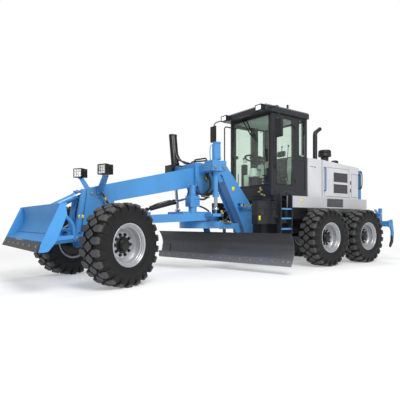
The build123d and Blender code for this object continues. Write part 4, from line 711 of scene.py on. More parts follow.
# %% Window seals
WALL_Y = 700.5
bm = bmesh.new()
frame_of(bm, [(2156.5, -640, 1870), (2156.5, 640, 1870), (2156.5, 640, 3480), (2156.5, -640, 3480)], 26, 6)
frame_of(bm, [(933.5, 570, 2650), (933.5, -570, 2650), (933.5, -570, 3470), (933.5, 570, 3470)], 26, 6)
for s in (1, -1):
    side = [(997, s * WALL_Y, 2580), (1252, s * WALL_Y, 2580), (1252, s * WALL_Y, 3470), (997, s * WALL_Y, 3470)]
    frame_of(bm, side[::-1] if s > 0 else side, 22, 6)
settle("window_seals", bm, [gasket_rubber], "rear_chassis")

for key, s in (("left", 1), ("right", -1)):
    bm = bmesh.new()
    pane = [(1450, s * WALL_Y, 1886), (2006, s * WALL_Y, 1886), (2006, s * WALL_Y, 3430), (1450, s * WALL_Y, 3430)]
    frame_of(bm, pane[::-1] if s > 0 else pane, 24, 5)
    block(bm, (2006, 2078), sorted((s * 700, s * 708)), (2290, 2325), 3, 0)
    rod(bm, (2042, s * 700, 2262), (2042, s * 716, 2262), 22, 16, material=0)
    settle(f"door_seal_{key}", bm, [gasket_rubber], f"door_{key}")

# %% [markdown]
# ## Wipers
# Two spindles come through the header of the windscreen, and each carries an arm that slopes across
# the glass. Arms and blades are thin rods here: from a few metres only their dark lines show.

# %% Wipers
bm = bmesh.new()
for y in (-235, -118):
    rod(bm, (2150, y, 3520), (2180, y, 3520), 24, 16)
rod(bm, (2182, -235, 3505), (2182, 55, 3090), 15, 8, 12)
rod(bm, (2182, -118, 3505), (2182, 89, 3180), 15, 8, 12)
rod(bm, (2182, 30, 3110), (2182, 120, 3090), 17, 8)
rod(bm, (2176, -20, 3180), (2176, 290, 2880), 15, 8)
for s in (1, -1):
    rod(bm, (1100, s * 698, 3420), (1100, s * 712, 3420), 16, 12)
settle("wipers", bm, [plastic], "rear_chassis")

# %% [markdown]
# ## Mirrors
# A driver's mirror is a moulded shell with a bead round a flat glass that faces the rear. Three
# blocks with rounded edges stand for glass, bead and shell. The two hang at different heights.

# %% Mirror glass
bm = bmesh.new()
for x, y, z in ((2230, 1000, 3090), (2370, -1130, 3290)):
    block(bm, (x - 34, x - 29), (y - 78, y + 78), (z - 185, z + 185), 2, 1)
    block(bm, (x - 12, x + 12), (y - 108, y + 108), (z - 208, z + 208), 9, 0)
    block(bm, (x + 10, x + 33), (y - 100, y + 100), (z - 198, z + 198), 11, 0)
settle("mirror_faces", bm, [plastic, mirror_glass], "rear_chassis")

# %% [markdown]
# ## Seat
# A suspension seat has foam cushions under stretched cloth: crowned faces, sides that pull in, and
# sewn channels. A block a little smaller than the cushion is remeshed into even faces and blown up
# by the cloth solver under pressure, as the foam pushes the cover out. The channels are pressed in
# afterwards, because the remesh would wipe them away.

# %% Cushions
def cushion(name, x, y, z, tilt, hinge, cap, channels, depth=0.012):
    """Blow up a block into a padded cushion; channels are the y values in mm of its sewn lines."""
    bm = bmesh.new()
    block(bm, x, y, z, 30)
    mesh = bpy.data.meshes.new(name)
    bm.to_mesh(mesh)
    bm.free()
    mesh.materials.append(cloth)
    piece = bpy.data.objects.new(name, mesh)
    scene.collection.objects.link(piece)
    remesh = piece.modifiers.new("even", "REMESH")
    remesh.mode = "VOXEL"
    remesh.voxel_size = 0.009
    apply_modifiers(piece)
    rest = [vert.co.copy() for vert in piece.data.vertices]
    puff = piece.modifiers.new("puff", "CLOTH")
    puff.settings.use_pressure = True
    puff.settings.uniform_pressure_force = 4.0
    puff.settings.effector_weights.gravity = 0.0
    for step in range(1, 15):
        scene.frame_set(step)
    apply_modifiers(piece)
    scene.frame_set(1)
    turn = Matrix.Translation(at(*hinge)) @ Matrix.Rotation(math.radians(tilt), 4, "Y")
    turn = turn @ Matrix.Translation(at(*hinge)).inverted()
    for vert, start in zip(piece.data.vertices, rest):
        moved = vert.co - start
        if moved.length > cap:
            vert.co = start + moved.normalized() * cap
        near = min(abs(start.y - line / 1000) for line in channels)
        vert.co -= vert.normal * depth * math.exp(-(near / 0.012) ** 2)
        vert.co = turn @ vert.co
    smooth = piece.modifiers.new("smooth", "SUBSURF")
    smooth.levels = smooth.render_levels = 1
    piece.data.shade_smooth()
    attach(piece, "rear_chassis")
    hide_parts("cab_seat")
    print(name, "faces:", len(piece.data.polygons))


def apply_modifiers(piece):
    """Replace the piece's mesh by what its modifiers make of it."""
    graph = bpy.context.evaluated_depsgraph_get()
    made = bpy.data.meshes.new_from_object(piece.evaluated_get(graph))
    piece.modifiers.clear()
    piece.data = made


cushion("seat_cushion", (1088, 1542), (-222, 222), (1998, 2086), 0, (1135, 0, 2087), 0.014, (-120, 120))
cushion("seat_back", (1088, 1180), (-206, 206), (2108, 2638), -5, (1135, 0, 2087), 0.014, (-105, 105))
cushion("seat_headrest", (1096, 1172), (-128, 128), (2684, 2830), -5, (1135, 0, 2087), 0.01, (-400, 400))

bm = bmesh.new()
for y in (-70, 70):
    rod(bm, (1082, y, 2620), (1075, y, 2700), 7, 10)
block(bm, (1130, 1480), (-262, -236), (2190, 2230), 10)
block(bm, (1130, 1480), (236, 262), (2190, 2230), 10)
for y in (-250, 250):
    rod(bm, (1120, y, 2060), (1160, y, 2210), 14, 10)
block(bm, (1075, 1092), (-190, 190), (2130, 2620), 6)
block(bm, (1110, 1530), (-232, 232), (1975, 1990), 5)
settle("seat_frame", bm, [plastic], "rear_chassis")

# %% [markdown]
# ## Driver's place
# Inside the cab stand the steering column with its gauges, and a console at each side with a row
# of control levers. They show through the glass, so their outlines matter more than their detail.

# %% Driver's controls
bm = bmesh.new()
for s in (1, -1):
    for i in range(5):
        x = 1490 + 48 * i
        rod(bm, (x, s * 300, 2130), (x + 12, s * 296, 2330), 6, 8, 5)
        rod(bm, (x + 11, s * 296, 2320), (x + 15, s * 295, 2372), 15, 10, 11)
    block(bm, (1470, 1712), sorted((s * 285, s * 395)), (2139, 2150), 4)
    block(bm, (1250, 1460), sorted((s * 290, s * 385)), (2128, 2160), 12)
block(bm, (1925, 2000), (-150, 150), (2395, 2560), 15)
block(bm, (1985, 2060), (-115, 115), (1705, 2110), 10)
for y in (-90, 0, 90):
    rod(bm, (1921, y, 2478), (1927, y, 2478), 34, 20, material=1)
for y in (-180, 180):
    block(bm, (2000, 2090), (y - 55, y + 55), (1745, 1760), 4)
rod(bm, (1890, -170, 2500), (1890, -90, 2500), 8, 8)
settle("driver_controls", bm, [plastic, mirror_glass], "rear_chassis")

# %% [markdown]
# ## Lining and consoles
# The floor, headlining and rear wall are moulded panels, and they give the glass a dark, soft
# background. The consoles, levers and hoop are plain shapes with rounded edges, because tinted
# panes hide their detail. They have no joint: a lever is a small control.

# %% Cab lining
bm = bmesh.new()
block(bm, (990, 2100), (-645, 645), (1702, 1712), 3)
block(bm, (985, 2105), (-650, 650), (3478, 3502), 6)
block(bm, (985, 1020), (-640, 640), (1704, 2640), 12)
block(bm, (1040, 1180), (-560, 560), (1704, 1900), 20)
for s in (1, -1):
    block(bm, (1040, 1340), sorted((s * 640, s * 654)), (1704, 2560), 4)
settle("cab_lining", bm, [lining], "rear_chassis")

bm = bmesh.new()
block(bm, (1800, 1930), (-570, -440), (1712, 2480), 30)
block(bm, (1840, 1960), (290, 400), (1712, 2300), 30)
block(bm, (1960, 2080), (-120, 60), (1712, 2330), 40, 1)
block(bm, (1900, 2000), (-400, -260), (1712, 2200), 30, 1)
for y in (-520, -470, -420):
    rod(bm, (1860, y, 2520), (1880, y, 2620), 8, 8, 6)
    rod(bm, (1880, y, 2610), (1883, y, 2650), 17, 10, 12)
rod(bm, (1985, -610, 1760), (1950, -640, 2240), 11, 8)
rod(bm, (2070, -620, 2480), (2070, -620, 2760), 26, 10)
block(bm, (2050, 2090), (-650, -520), (2600, 2680), 12)
for y in (90, 300):
    rod(bm, (1190, y, 2560), (1150, y, 2900), 8, 8)
    rod(bm, (1150, y, 2890), (1146, y, 2930), 20, 10)
wheel = bmesh.new()
spun(wheel, [(18 * math.cos(a), 212 + 20 * math.sin(a)) for a in [math.tau * i / 10 for i in range(10)]], 40, True)
away = Vector((-140, 0, 470)).to_track_quat("Y", "Z").to_matrix().to_4x4()
wheel.transform(Matrix.Translation(at(1985, -50, 2560)) @ away)
hoop = bpy.data.meshes.new("hoop")
wheel.to_mesh(hoop)
wheel.free()
bm.from_mesh(hoop)
bpy.data.meshes.remove(hoop)
settle("driver_consoles", bm, [plastic, lining], "rear_chassis")

# %% [markdown]
# ## Hood: seams and latches
# The hood's side is a door over the engine, hung at its front edge and latched at its rear, with
# two screens. The gap round a door is a dark line a few millimetres wide.

# %% Hood doors
bm = bmesh.new()
for s in (1, -1):
    y = s * 620.4
    door = [(-900, y, 1690), (160, y, 1690), (160, y, 2440), (-900, y, 2440)]
    frame_of(bm, door[::-1] if s > 0 else door, 7, 1.2, 1)
    for x, z in ((-960, 2090), (-960, 1880)):
        block(bm, (x - 16, x + 16), sorted((s * 620, s * 634)), (z - 48, z + 48), 5, 1)
    for z in (2360, 2060, 1760):
        rod(bm, (214, s * 628, z - 34), (214, s * 628, z + 34), 9, 10, material=0)
    for x in (700, 640, 560, 520):
        rod(bm, (x, s * 619, 2405 - (x < 600) * 4), (x, s * 627, 2405), 13, 12, material=1)
    lid = [(-1330, y, 1700), (-1010, y, 1700), (-1010, y, 2330), (-1330, y, 2330)]
    frame_of(bm, lid[::-1] if s > 0 else lid, 6, 1.2, 1)
for s in (1, -1):
    block(bm, (247, 261), sorted((s * 619.8, s * 621.6)), (1642, 2600), 0, 1)
    block(bm, (-1250, -1170), sorted((s * 619.8, s * 621.2)), (1642, 1650), 0, 1)
settle("hood_doors", bm, [grey, black], "rear_chassis")

# %% [markdown]
# ## Engine screens
# Air enters through punched sheet in a bolted frame. The sheet's holes are drawn by its material,
# and the rim and the rear's louvres are real shapes, since their edges catch the light.

# %% Screens
bm = bmesh.new()
for x0, x1, z0, z1, face in ((-833, -220, 2080, 2325, 620), (-833, -220, 1787, 2024, 620),
                             (-311, 348, 1392, 1625, 840)):
    for s in (1, -1):
        block(bm, (x0 + 4, x1 - 4), sorted((s * (face - 5), s * (face - 1))), (z0 + 4, z1 - 4), 0, 1)
        rim = [(x0 - 14, s * (face + 0.4), z0 - 14), (x1 + 14, s * (face + 0.4), z0 - 14),
               (x1 + 14, s * (face + 0.4), z1 + 14), (x0 - 14, s * (face + 0.4), z1 + 14)]
        frame_of(bm, rim[::-1] if s > 0 else rim, 15, 3, 2)
for i in range(34):
    block(bm, (-1456, -1446), (-430, 430), (1782 + i * 16, 1790 + i * 16), 0)
settle("screen_sheets", bm, [mesh_black, punched, grey], "rear_chassis")

# %% [markdown]
# ## Stacks
# The silencer's tube, the air cleaner with its ribbed pre-cleaner and the filler cap are all round,
# so each is a profile turned about an upright axis, as a spinner would form it over a chuck.

# %% Exhaust, air cleaner and roof fittings
def lathe(bm, x, y, z, profile, steps=40, material=0):
    """Turned shape standing on x, y, z, from its profile of (height, radius)."""
    made = bmesh.new()
    spun(made, profile, steps, False, material)
    made.transform(Matrix.Translation(at(x, y, z)) @ Matrix.Rotation(math.radians(90), 4, "X"))
    shape = bpy.data.meshes.new("turned")
    made.to_mesh(shape)
    made.free()
    bm.from_mesh(shape)
    bpy.data.meshes.remove(shape)


bm = bmesh.new()
lathe(bm, -262, 0, 2540, [(0, 0), (0, 96), (110, 96), (118, 90), (118, 66), (170, 64), (170, 60), (840, 60), (840, 0)])
lathe(bm, -680, 0, 2560, [(0, 0), (0, 104), (270, 104), (282, 120), (290, 168), (298, 176), (372, 176), (380, 170),
                          (384, 140), (390, 168), (398, 174), (440, 172), (468, 150), (480, 70), (480, 0)])
for i in range(20):
    angle = math.tau * i / 20
    spot = (-680 + 166 * math.cos(angle), 166 * math.sin(angle))
    rod(bm, (*spot, 2862), (*spot, 2930), 11, 6)
lathe(bm, -1130, 0, 2480, [(0, 0), (0, 62), (214, 62), (218, 96), (226, 102), (276, 102), (288, 92),
                           (304, 60), (306, 0)])
settle("stack_bodies", bm, [plastic], "rear_chassis", ["stacks"], crease=40)

bm = bmesh.new()
rod(bm, (1400, 500, 3730), (1400, 500, 3820), 26, 20)
for s in (1, -1):
    rod(bm, (950, s * 742, 3560), (2330, s * 742, 3560), 9, 8)
settle("roof_fittings", bm, [plastic], "rear_chassis")

# %% [markdown]
# ## Bolts and washers
# Wear edges are bolted on with plough bolts, so that they can be turned or changed, and the nuts
# show as a row along the lower edge. Pins are held by big washers. Bolts on one body share a piece.

# %% Blade bolts
YAW = math.radians(12.5)


def on_blade(forward, along, up):
    """Drawing's point for a place on the blade, ahead of the circle's middle and along the blade."""
    across = along + 97
    return (3570 + forward * math.cos(YAW) - across * math.sin(YAW),
            forward * math.sin(YAW) + across * math.cos(YAW), up)


ahead = (math.cos(YAW), math.sin(YAW), 0)
bm = bmesh.new()
FACE_X = -352.5
for i in range(12):
    along = -1450 + i * 2900 / 11
    bolt(bm, on_blade(FACE_X, along, 262), ahead, 26)
for side in (1, -1):
    for along, up in ((1690, 262), (1800, 262)):
        bolt(bm, on_blade(FACE_X, side * along, up), ahead, 26)
settle("blade_bolts", bm, [zinc], "moldboard")

# %% [markdown]
# ## Front blade
# The shell is plate bent in the rolls. Its inner line is a smooth curve through a few points,
# thickened outwards and drawn across the machine. Flat cheeks close its ends, and tubes with
# boxed lugs carry it. The shell is shallower, and the cheeks narrower, than the plain solid's.

# %% Front blade shell, cheeks and arms
def swept(bm, inner, wall, half):
    """Rolled plate: an inner line of (x, z), thickened outwards and drawn across the machine."""
    spots = [Vector((x, 0, z)) for x, z in inner]
    outer = []
    for i, spot in enumerate(spots):
        run = spots[min(i + 1, len(spots) - 1)] - spots[max(i - 1, 0)]
        outer.append(spot + Vector((-abs(run.z), 0, run.x if run.z < 0 else -run.x)).normalized() * wall)
    rows = [[bm.verts.new(at(p.x, y, p.z)) for p in spots + outer[::-1]] for y in (-half, half)]
    count = len(rows[0])
    for i in range(count):
        bm.faces.new((rows[0][i], rows[0][(i + 1) % count], rows[1][(i + 1) % count], rows[1][i]))
    for row in rows:
        for i in range(len(spots) - 1):
            bm.faces.new((row[i], row[i + 1], row[count - 2 - i], row[count - 1 - i]))


def bowed(points, steps):
    """Smooth line through the points of a curve, as plate leaves the rolls."""
    line = []
    for i in range(len(points) - 1):
        p = [Vector((*points[max(0, min(len(points) - 1, i + k))], 0)) for k in (-1, 0, 1, 2)]
        for t in [k / steps for k in range(steps)]:
            spot = 0.5 * (2 * p[1] + (p[2] - p[0]) * t + (2 * p[0] - 5 * p[1] + 4 * p[2] - p[3]) * t * t
                          + (3 * p[1] - p[0] - 3 * p[2] + p[3]) * t ** 3)
            line.append((spot.x, spot.y))
    return line + [tuple(points[-1])]


bm = bmesh.new()
SHELL = ((6962, 1322), (6930, 1230), (6926, 1120), (6962, 1000), (7030, 890), (7120, 805), (7228, 752))
CHEEK = ((6915, 1310), (6986, 1318), (7258, 742), (7292, 622), (7240, 610), (7160, 622), (7060, 745),
         (6972, 943), (6893, 1152))
LUG = ((6770, 1225), (6750, 1275), (6775, 1320), (6820, 1326), (6925, 1318), (6905, 1150))
swept(bm, bowed(SHELL, 5), 18, 1208)
for s in (1, -1):
    plate = [(x, s * 1211, z) for x, z in CHEEK]
    outline_plate(bm, plate, (0, s * 20, 0), 0)
    rod(bm, (6450, s * 330, 770), (7150, s * 330, 700), 62, 4, 62)
    rod(bm, (6450, s * 275, 770), (6450, s * 385, 770), 50, 20)
    for low, high in zip(((6475, 790), (6504, 1000), (6655, 1175)), ((6504, 1000), (6655, 1175), (6915, 1150))):
        rod(bm, (low[0], s * 330, low[1]), (high[0], s * 330, high[1]), 31, 14)
    outline_plate(bm, [(x, s * 42, z) for x, z in LUG], (0, s * 22, 0), 0)
rod(bm, (6800, -66, 1270), (6800, 66, 1270), 24, 20)
block(bm, (6885, 6942), (-1200, 1200), (1285, 1326), 5)
rod(bm, (6480, -330, 900), (6480, 330, 900), 30, 14)
settle("bucket_plates", bm, [bucket_blue_lightened], "front_blade", ["bucket"])

bm = bmesh.new()
for y in (-112, 112):
    rod(bm, (6245, y, 1545), (6340, y, 1180), 18, 10)
    rod(bm, (6340, y, 1180), (6300, y, 900), 18, 10)
for s in (1, -1):
    block(bm, (6240, 6300), sorted((s * 95, s * 200)), (1560, 1600), 8)
block(bm, (6240, 6290), (-210, 210), (880, 930), 8)
for y in (-170, -120, 120, 170):
    bolt(bm, (6270, y, 1600), (0, 0, 1), 30)
for y in (-185, 185):
    block(bm, (6240, 6275), sorted((y - 14, y + 14)), (700, 1580), 6)
settle("nose_ribs", bm, [blue], "front_chassis")

# %% [markdown]
# ## Bolts of the front edge
# The front edge wears out too, so it is bolted. Seven bolts stand square to its slope.

# %% Front blade bolts
bm = bmesh.new()
slope = Vector((6950 - 7300, 0, 1340 - 610)).normalized()
out = Vector((slope.z, 0, -slope.x))
for i in range(7):
    seat = Vector((7300, -1080 + i * 360, 610)) + slope * 78 + out * 22.5
    bolt(bm, seat - out * 8, out, 34)
settle("front_blade_bolts", bm, [zinc], "front_blade")

# %% [markdown]
# ## Washers and frame bolts
# Each cylinder's pin is kept by a plate or a big washer with one bolt through it. Bolted joints of
# the frame show as short rows of heads, and a ring of six holds the cap of the frame's hinge.

# %% Pin washers on the front frame
bm = bmesh.new()
for s, y in ((1, 690), (-1, -840)):
    z = 2130 if s > 0 else 2205
    for dx in (-110, 110):
        face = y + s * 148
        rod(bm, (3740 + dx, face - s * 2, z), (3740 + dx, face + s * 12, z), 42, 24, 36, material=1)
        bolt(bm, (3740 + dx, face + s * 11, z), (0, s, 0), 30, 1)
for s in (1, -1):
    rod(bm, (6140, s * 254, 1550), (6140, s * 262, 1550), 26, 20, material=1)
    rod(bm, (6450, s * 406, 770), (6450, s * 414, 770), 40, 20, material=0)
    bolt(bm, (6450, s * 412, 770), (0, s, 0), 30, 1)
    for x, z in ((2260, 1120), (2320, 1230), (2380, 1340)):
        bolt(bm, (x, s * 184.5, z), (0, s, 0), 34, 0)
    for x, z in ((5860, 1480), (6010, 1480), (5860, 1000), (6010, 1000), (6150, 1000)):
        bolt(bm, (x, s * 239.5, z), (0, s, 0), 30, 0)
for i in range(6):
    angle = math.tau * i / 6
    bolt(bm, (1950 + 78 * math.cos(angle), 78 * math.sin(angle), 966), (0, 0, 1), 22, 0)
settle("frame_bolts", bm, [blue, zinc], "front_chassis")

# %% [markdown]
# ## Lift cylinder jackets
# A sleeve with a collar at each end is slipped over the upper part of each lift cylinder. It is a
# tube, because the rod's barrel runs inside it. One fault is left in: the sleeves lean along an
# axis at 3700, which is 40 mm behind that of the barrels, at 3740.

# %% Lift cylinder jackets
JACKET_X = 3700
BORE_R = 66.5
JACKETS = (               # side, yoke's y and z, top, low end, radius, finish
    ("left", 690, 2160, 2640, 2300, 74, blue),
    ("right", -840, 2235, 3060, 2360, 84, black),
)
for side, y, yoke_z, top, low, reach, finish in JACKETS:
    foot = Vector((JACKET_X, 700 if y > 0 else -700, 1285))
    yoke = Vector((JACKET_X, y, yoke_z))
    way = (yoke - foot).normalized()
    start = foot + way * ((low - foot.z) / way.z)
    length = (top - low) / way.z
    bm = bmesh.new()
    spun(bm, [(0, BORE_R), (0, reach + 9), (30, reach + 9), (30, reach), (length - 26, reach),
              (length - 26, reach + 7), (length + 6, reach + 7), (length + 6, BORE_R)], 40, True)
    bm.transform(Matrix.Translation(at(*start)) @ way.to_track_quat("Y", "Z").to_matrix().to_4x4())
    settle(f"lift_{side}_jacket", bm, [finish], f"lift_{side}_barrel")

# %% [markdown]
# ## Circle bolts and slew motor
# A ring of 24 bolts holds the circle's cover to the drawbar. The motor that turns the circle has
# cooling fins round its middle and four bolts in its head.

# %% Circle bolts and slew motor
bm = bmesh.new()
for i in range(24):
    angle = math.tau * i / 24
    bolt(bm, (3570 + 425 * math.cos(angle), 425 * math.sin(angle), 1200), (0, 0, 1), 30, 0)
for z in (1400, 1450, 1500):
    block(bm, (3910, 4150), (197, 403), (z, z + 16), 5, 0)
for dx in (-60, 60):
    for dy in (-60, 60):
        bolt(bm, (4030 + dx, 300 + dy, 1790), (0, 0, 1), 22, 1)
settle("drawbar_bolts", bm, [blue, zinc], "drawbar")

# %% [markdown]
# ## Ripper points
# The ripper's shanks end in replaceable points of bare steel, and each shank is pinned in a socket
# on the beam. A point is one outline given a thickness, with every edge eased.

# %% Ripper points
bm = bmesh.new()
for i in range(5):
    y = -820 + i * 410
    outline = [(-2722, 640), (-2755, 560), (-2752, 452), (-2628, 298), (-2598, 338), (-2680, 520), (-2680, 640)]
    outline_plate(bm, [(x, y - 29, z) for x, z in outline], (0, 58, 0))
bmesh.ops.bevel(bm, geom=bm.edges[:], offset=0.005, segments=1, profile=0.5, affect="EDGES", material=-1)
settle("ripper_points", bm, [edge_steel], "ripper")

bm = bmesh.new()
for i in range(5):
    y = -820 + 410 * i
    block(bm, (-2660, -2560), (y - 48, y + 48), (885, 1075), 8)
    rod(bm, (-2610, y - 60, 1035), (-2610, y + 60, 1035), 22, 16)
for s in (1, -1):
    block(bm, (-2560, -2420), sorted((s * 500, s * 600)), (1010, 1190), 8)
    rod(bm, (-2490, s * 480, 1240), (-2490, s * 612, 1240), 46, 20)
    block(bm, (-2530, -2450), sorted((s * 505, s * 590)), (1150, 1330), 8)
    rod(bm, (-2420, s * 545, 1290), (-2300, s * 545, 1380), 34, 14)
settle("ripper_brackets", bm, [blue], "ripper")

# %% [markdown]
# ## Step treads
# The ladder's steps are folded plate with raised bars across them that bite into a boot's sole.

# %% Step treads
bm = bmesh.new()
for s in (1, -1):
    for z in (883, 1115, 1325):
        block(bm, (1818, 2147), sorted((s * 903, s * 997)), (z - 16, z + 16), 4, 0)
        for i in range(9):
            x = 1840 + i * 35
            block(bm, (x, x + 14), sorted((s * 912, s * 988)), (z + 15, z + 20), 2, 0)
settle("step_treads", bm, [blue], "rear_chassis")

# %% [markdown]
# ## Unions
# Oil reaches the cylinders through steel pipes and hoses, joined by yellow-passivated unions. A
# union is a hexagon between two collars.

# %% Unions
def union(bm, middle, way, radius, material=0):
    """Hexagon nut between two collars."""
    middle, way = Vector(middle), Vector(way).normalized()
    rod(bm, middle - way * radius * 1.5, middle + way * radius * 1.5, radius, 12, material=material)
    rod(bm, middle - way * radius * 0.6, middle + way * radius * 0.6, radius * 1.35, 6, material=material)


bm = bmesh.new()
for spot, way in (((3430, -150, 2290), (1, 0, 0)), ((3500, -150, 2300), (1, 0, 0)), ((3440, -90, 2290), (1, 0, 0)),
                  ((3655, 262, 1955), (0.3, 0, 1)), ((3600, 262, 1915), (0.3, 0, 1)), ((3690, 262, 2185), (0.4, 0, 1)),
                  ((4040, 262, 1765), (0, 0, 1)), ((3602, 262, 1567), (1, 0, 0.1)), ((3620, 262, 1673), (1, 0, 0.2)),
                  ((3681, 262, 1575), (1, 0, 0)), ((3560, 262, 2150), (0.3, 0, 1)),
                  ((2509, 186, 1426), (0, 0, 1)), ((2478, 186, 1358), (0, 0, 1))):
    union(bm, spot, way, 21)
for z in (1560, 1330):
    union(bm, (5990 if z > 1500 else 5850, 252, z), (0, 1, 0), 22)
union(bm, (5925, 318, 1452), (140, 0, 230), 22)
settle("frame_unions", bm, [brass], "front_chassis")

bm = bmesh.new()
for spot, way in (((3335, 418, 1222), (0, 0, 1)), ((3420, 416, 1180), (1, 0, 0.5)), ((3300, 432, 1060), (1, 0, 0.2)),
                  ((3215, 452, 1045), (1, 0, 0.1)), ((3100, 388, 1030), (1, 0, 0.4)), ((3380, 425, 1000), (1, 0, -0.3)),
                  ((3360, 414, 1260), (0, 0, 1))):
    union(bm, spot, way, 20)
block(bm, (3180, 3420), (400, 424), (1020, 1075), 6, 1)
settle("drawbar_unions", bm, [brass, zinc], "drawbar")

bm = bmesh.new()
for x, z, way in ((2562, 1772, (0, 0, 1)), (2540, 1735, (1, 0, 0.1)), (2600, 1690, (1, 0, 0)),
                  (2517, 1640, (1, 0, 0.1)),
                  (2450, 1620, (1, 0, 0.2))):
    union(bm, (x, 760, z), way, 17)
for x, y in ((2190, 640), (2240, 660), (2290, 640)):
    union(bm, (x, y, 1515), (0, 0, 1), 18)
block(bm, (2180, 2330), (560, 700), (1500, 1540), 8, 1)
for x, z in ((2180, 1380), (2260, 1380), (2340, 1320), (2480, 1180)):
    rod(bm, (x, 799, z), (x, 806, z), 15, 16, material=1)
block(bm, (2420, 2640), (797, 806), (1195, 1372), 3, 1)
for x in (2450, 2610):
    for z in (1225, 1342):
        bolt(bm, (x, 806, z), (0, 1, 0), 26, 1)
rod(bm, (2492, 799, 1120), (2492, 808, 1120), 24, 20, material=1)
frame_of(bm, [(2100, 800.4, 1480), (2660, 800.4, 1480), (2660, 800.4, 1020), (2100, 800.4, 1020)][::1], 10, 3, 1)
frame_of(bm, [(2100, -800.4, 1020), (2660, -800.4, 1020), (2660, -800.4, 1480), (2100, -800.4, 1480)][::1], 10, 3, 1)
settle("rear_unions", bm, [brass, dark], "rear_chassis")

# %% [markdown]
# ## Signs
# The yellow plates on a machine like this carry no words here. Each is a thin plate, a little proud
# of what it is fixed to, with a rolled edge.

# %% Blank signs
for name, body, plates in (
        ("frame_signs", "front_chassis", (((2790, 2870), (185.2, 187.5), (1735, 1825)),
                                          ((6285, 6335), (240.2, 242.5), (1105, 1165)),
                                          ((6345, 6385), (240.2, 242.5), (1105, 1165)))),
        ("rear_signs", "rear_chassis", (((2590, 2650), (800.2, 802.5), (1075, 1170)),
                                        ((1250, 1310), (840.2, 842.5), (1490, 1560)))),
        ("ripper_sign", "ripper", (((-2590, -2530), (590.2, 592.5), (1180, 1300)),))):
    bm = bmesh.new()
    for x, y, z in plates:
        block(bm, x, y, z, 0.8)
    settle(name, bm, [yellow], body)

# %% [markdown]
# ## Steel pipes
# Oil goes most of its way in bent steel pipe, clipped to the cylinders. A pipe is a curve with a
# round section, as the bender makes it. Handrails and the exhaust's tail are drawn the same way.

# %% Steel pipes
def pipes(name, runs, thick, finish, body):
    """Bent pipes of round section, one curve with a run of points for each."""
    curve = bpy.data.curves.new(name, "CURVE")
    curve.dimensions = "3D"
    curve.bevel_depth = thick / 2000
    curve.bevel_resolution = 2
    curve.use_fill_caps = True
    for run in runs:
        spline = curve.splines.new("NURBS")
        spline.points.add(len(run) - 1)
        for point, spot in zip(spline.points, run):
            point.co = (*at(*spot), 1.0)
        spline.order_u = 3
        spline.use_endpoint_u = True
    curve.materials.append(finish)
    piece = bpy.data.objects.new(name, curve)
    scene.collection.objects.link(piece)
    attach(piece, body)
    print(name, "runs:", len(runs))
    return piece


pipes("lift_left_pipe", [[(3800, 640, 2590), (3845, 640, 2560), (3845, 650, 2300), (3835, 655, 2240)]],
      18, blue, "lift_left_barrel")
pipes("shift_pipe", [[(4745, -150, 1352), (4700, -140, 1390), (4400, -90, 1480), (4310, -85, 1490)]],
      18, black, "shift_barrel")
pipes("lift_right_pipe", [[(3680, -975, 3040), (3650, -975, 3000), (3660, -900, 2500), (3690, -880, 2400)]],
      18, black, "lift_right_barrel")
exhaust_tail = pipes("exhaust_tail", [[(-262, 0, 3360), (-262, 0, 3420), (-275, 0, 3465), (-320, 0, 3510),
                                       (-470, 0, 3600)]], 118, plastic, "rear_chassis")
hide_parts("stacks")
pipes("cab_rear_pipes", [[(2200, 640, 1490), (2200, 640, 1300), (2120, 560, 1260)],
                         [(2250, 660, 1490), (2250, 660, 1280), (2100, 600, 1200)],
                         [(2300, 640, 1490), (2300, 640, 1320), (2120, 520, 1180)]],
      22, hose_cover, "rear_chassis")

for y in (1, -1):
    pipes(f"ladder_rails_{'left' if y > 0 else 'right'}",
          [[(x, y * 862, 1180), (x, y * 880, 1640), (x, y * 875, 1720), (x, y * 820, 1725),
            (x, y * 812, 1640), (x, y * 812, 1400)] for x in (1790, 2160)], 26, dark, "rear_chassis")
    pipes(f"rear_grab_{'left' if y > 0 else 'right'}",
          [[(-1440, y * 622, 2440), (-1440, y * 668, 2430), (-1440, y * 668, 1960), (-1440, y * 622, 1950)]],
          26, plastic, "rear_chassis")

# %% [markdown]
# ## Hoses
# A hose joins a pipe to something that moves. Each is one curve between two unions, laid
# where such a hose hangs, and then given its thickness. Those that cross from frame to drawbar
# are fixed to the frame, so they don't follow it.

# %% Hoses
def hose(name, run, thick, body, finish=hose_cover):
    """Rubber hose hung between two unions."""
    curve = bpy.data.curves.new(name, "CURVE")
    curve.dimensions = "3D"
    spline = curve.splines.new("NURBS")
    spline.points.add(len(run) - 1)
    for point, spot in zip(spline.points, run):
        point.co = (*at(*spot), 1.0)
    spline.order_u = 3
    spline.use_endpoint_u = True
    curve.materials.append(finish)
    piece = bpy.data.objects.new(name, curve)
    scene.collection.objects.link(piece)
    line = piece.to_mesh()
    piece.to_mesh_clear()
    curve.bevel_depth = thick / 2000
    curve.bevel_resolution = 3
    curve.use_fill_caps = True
    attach(piece, body)


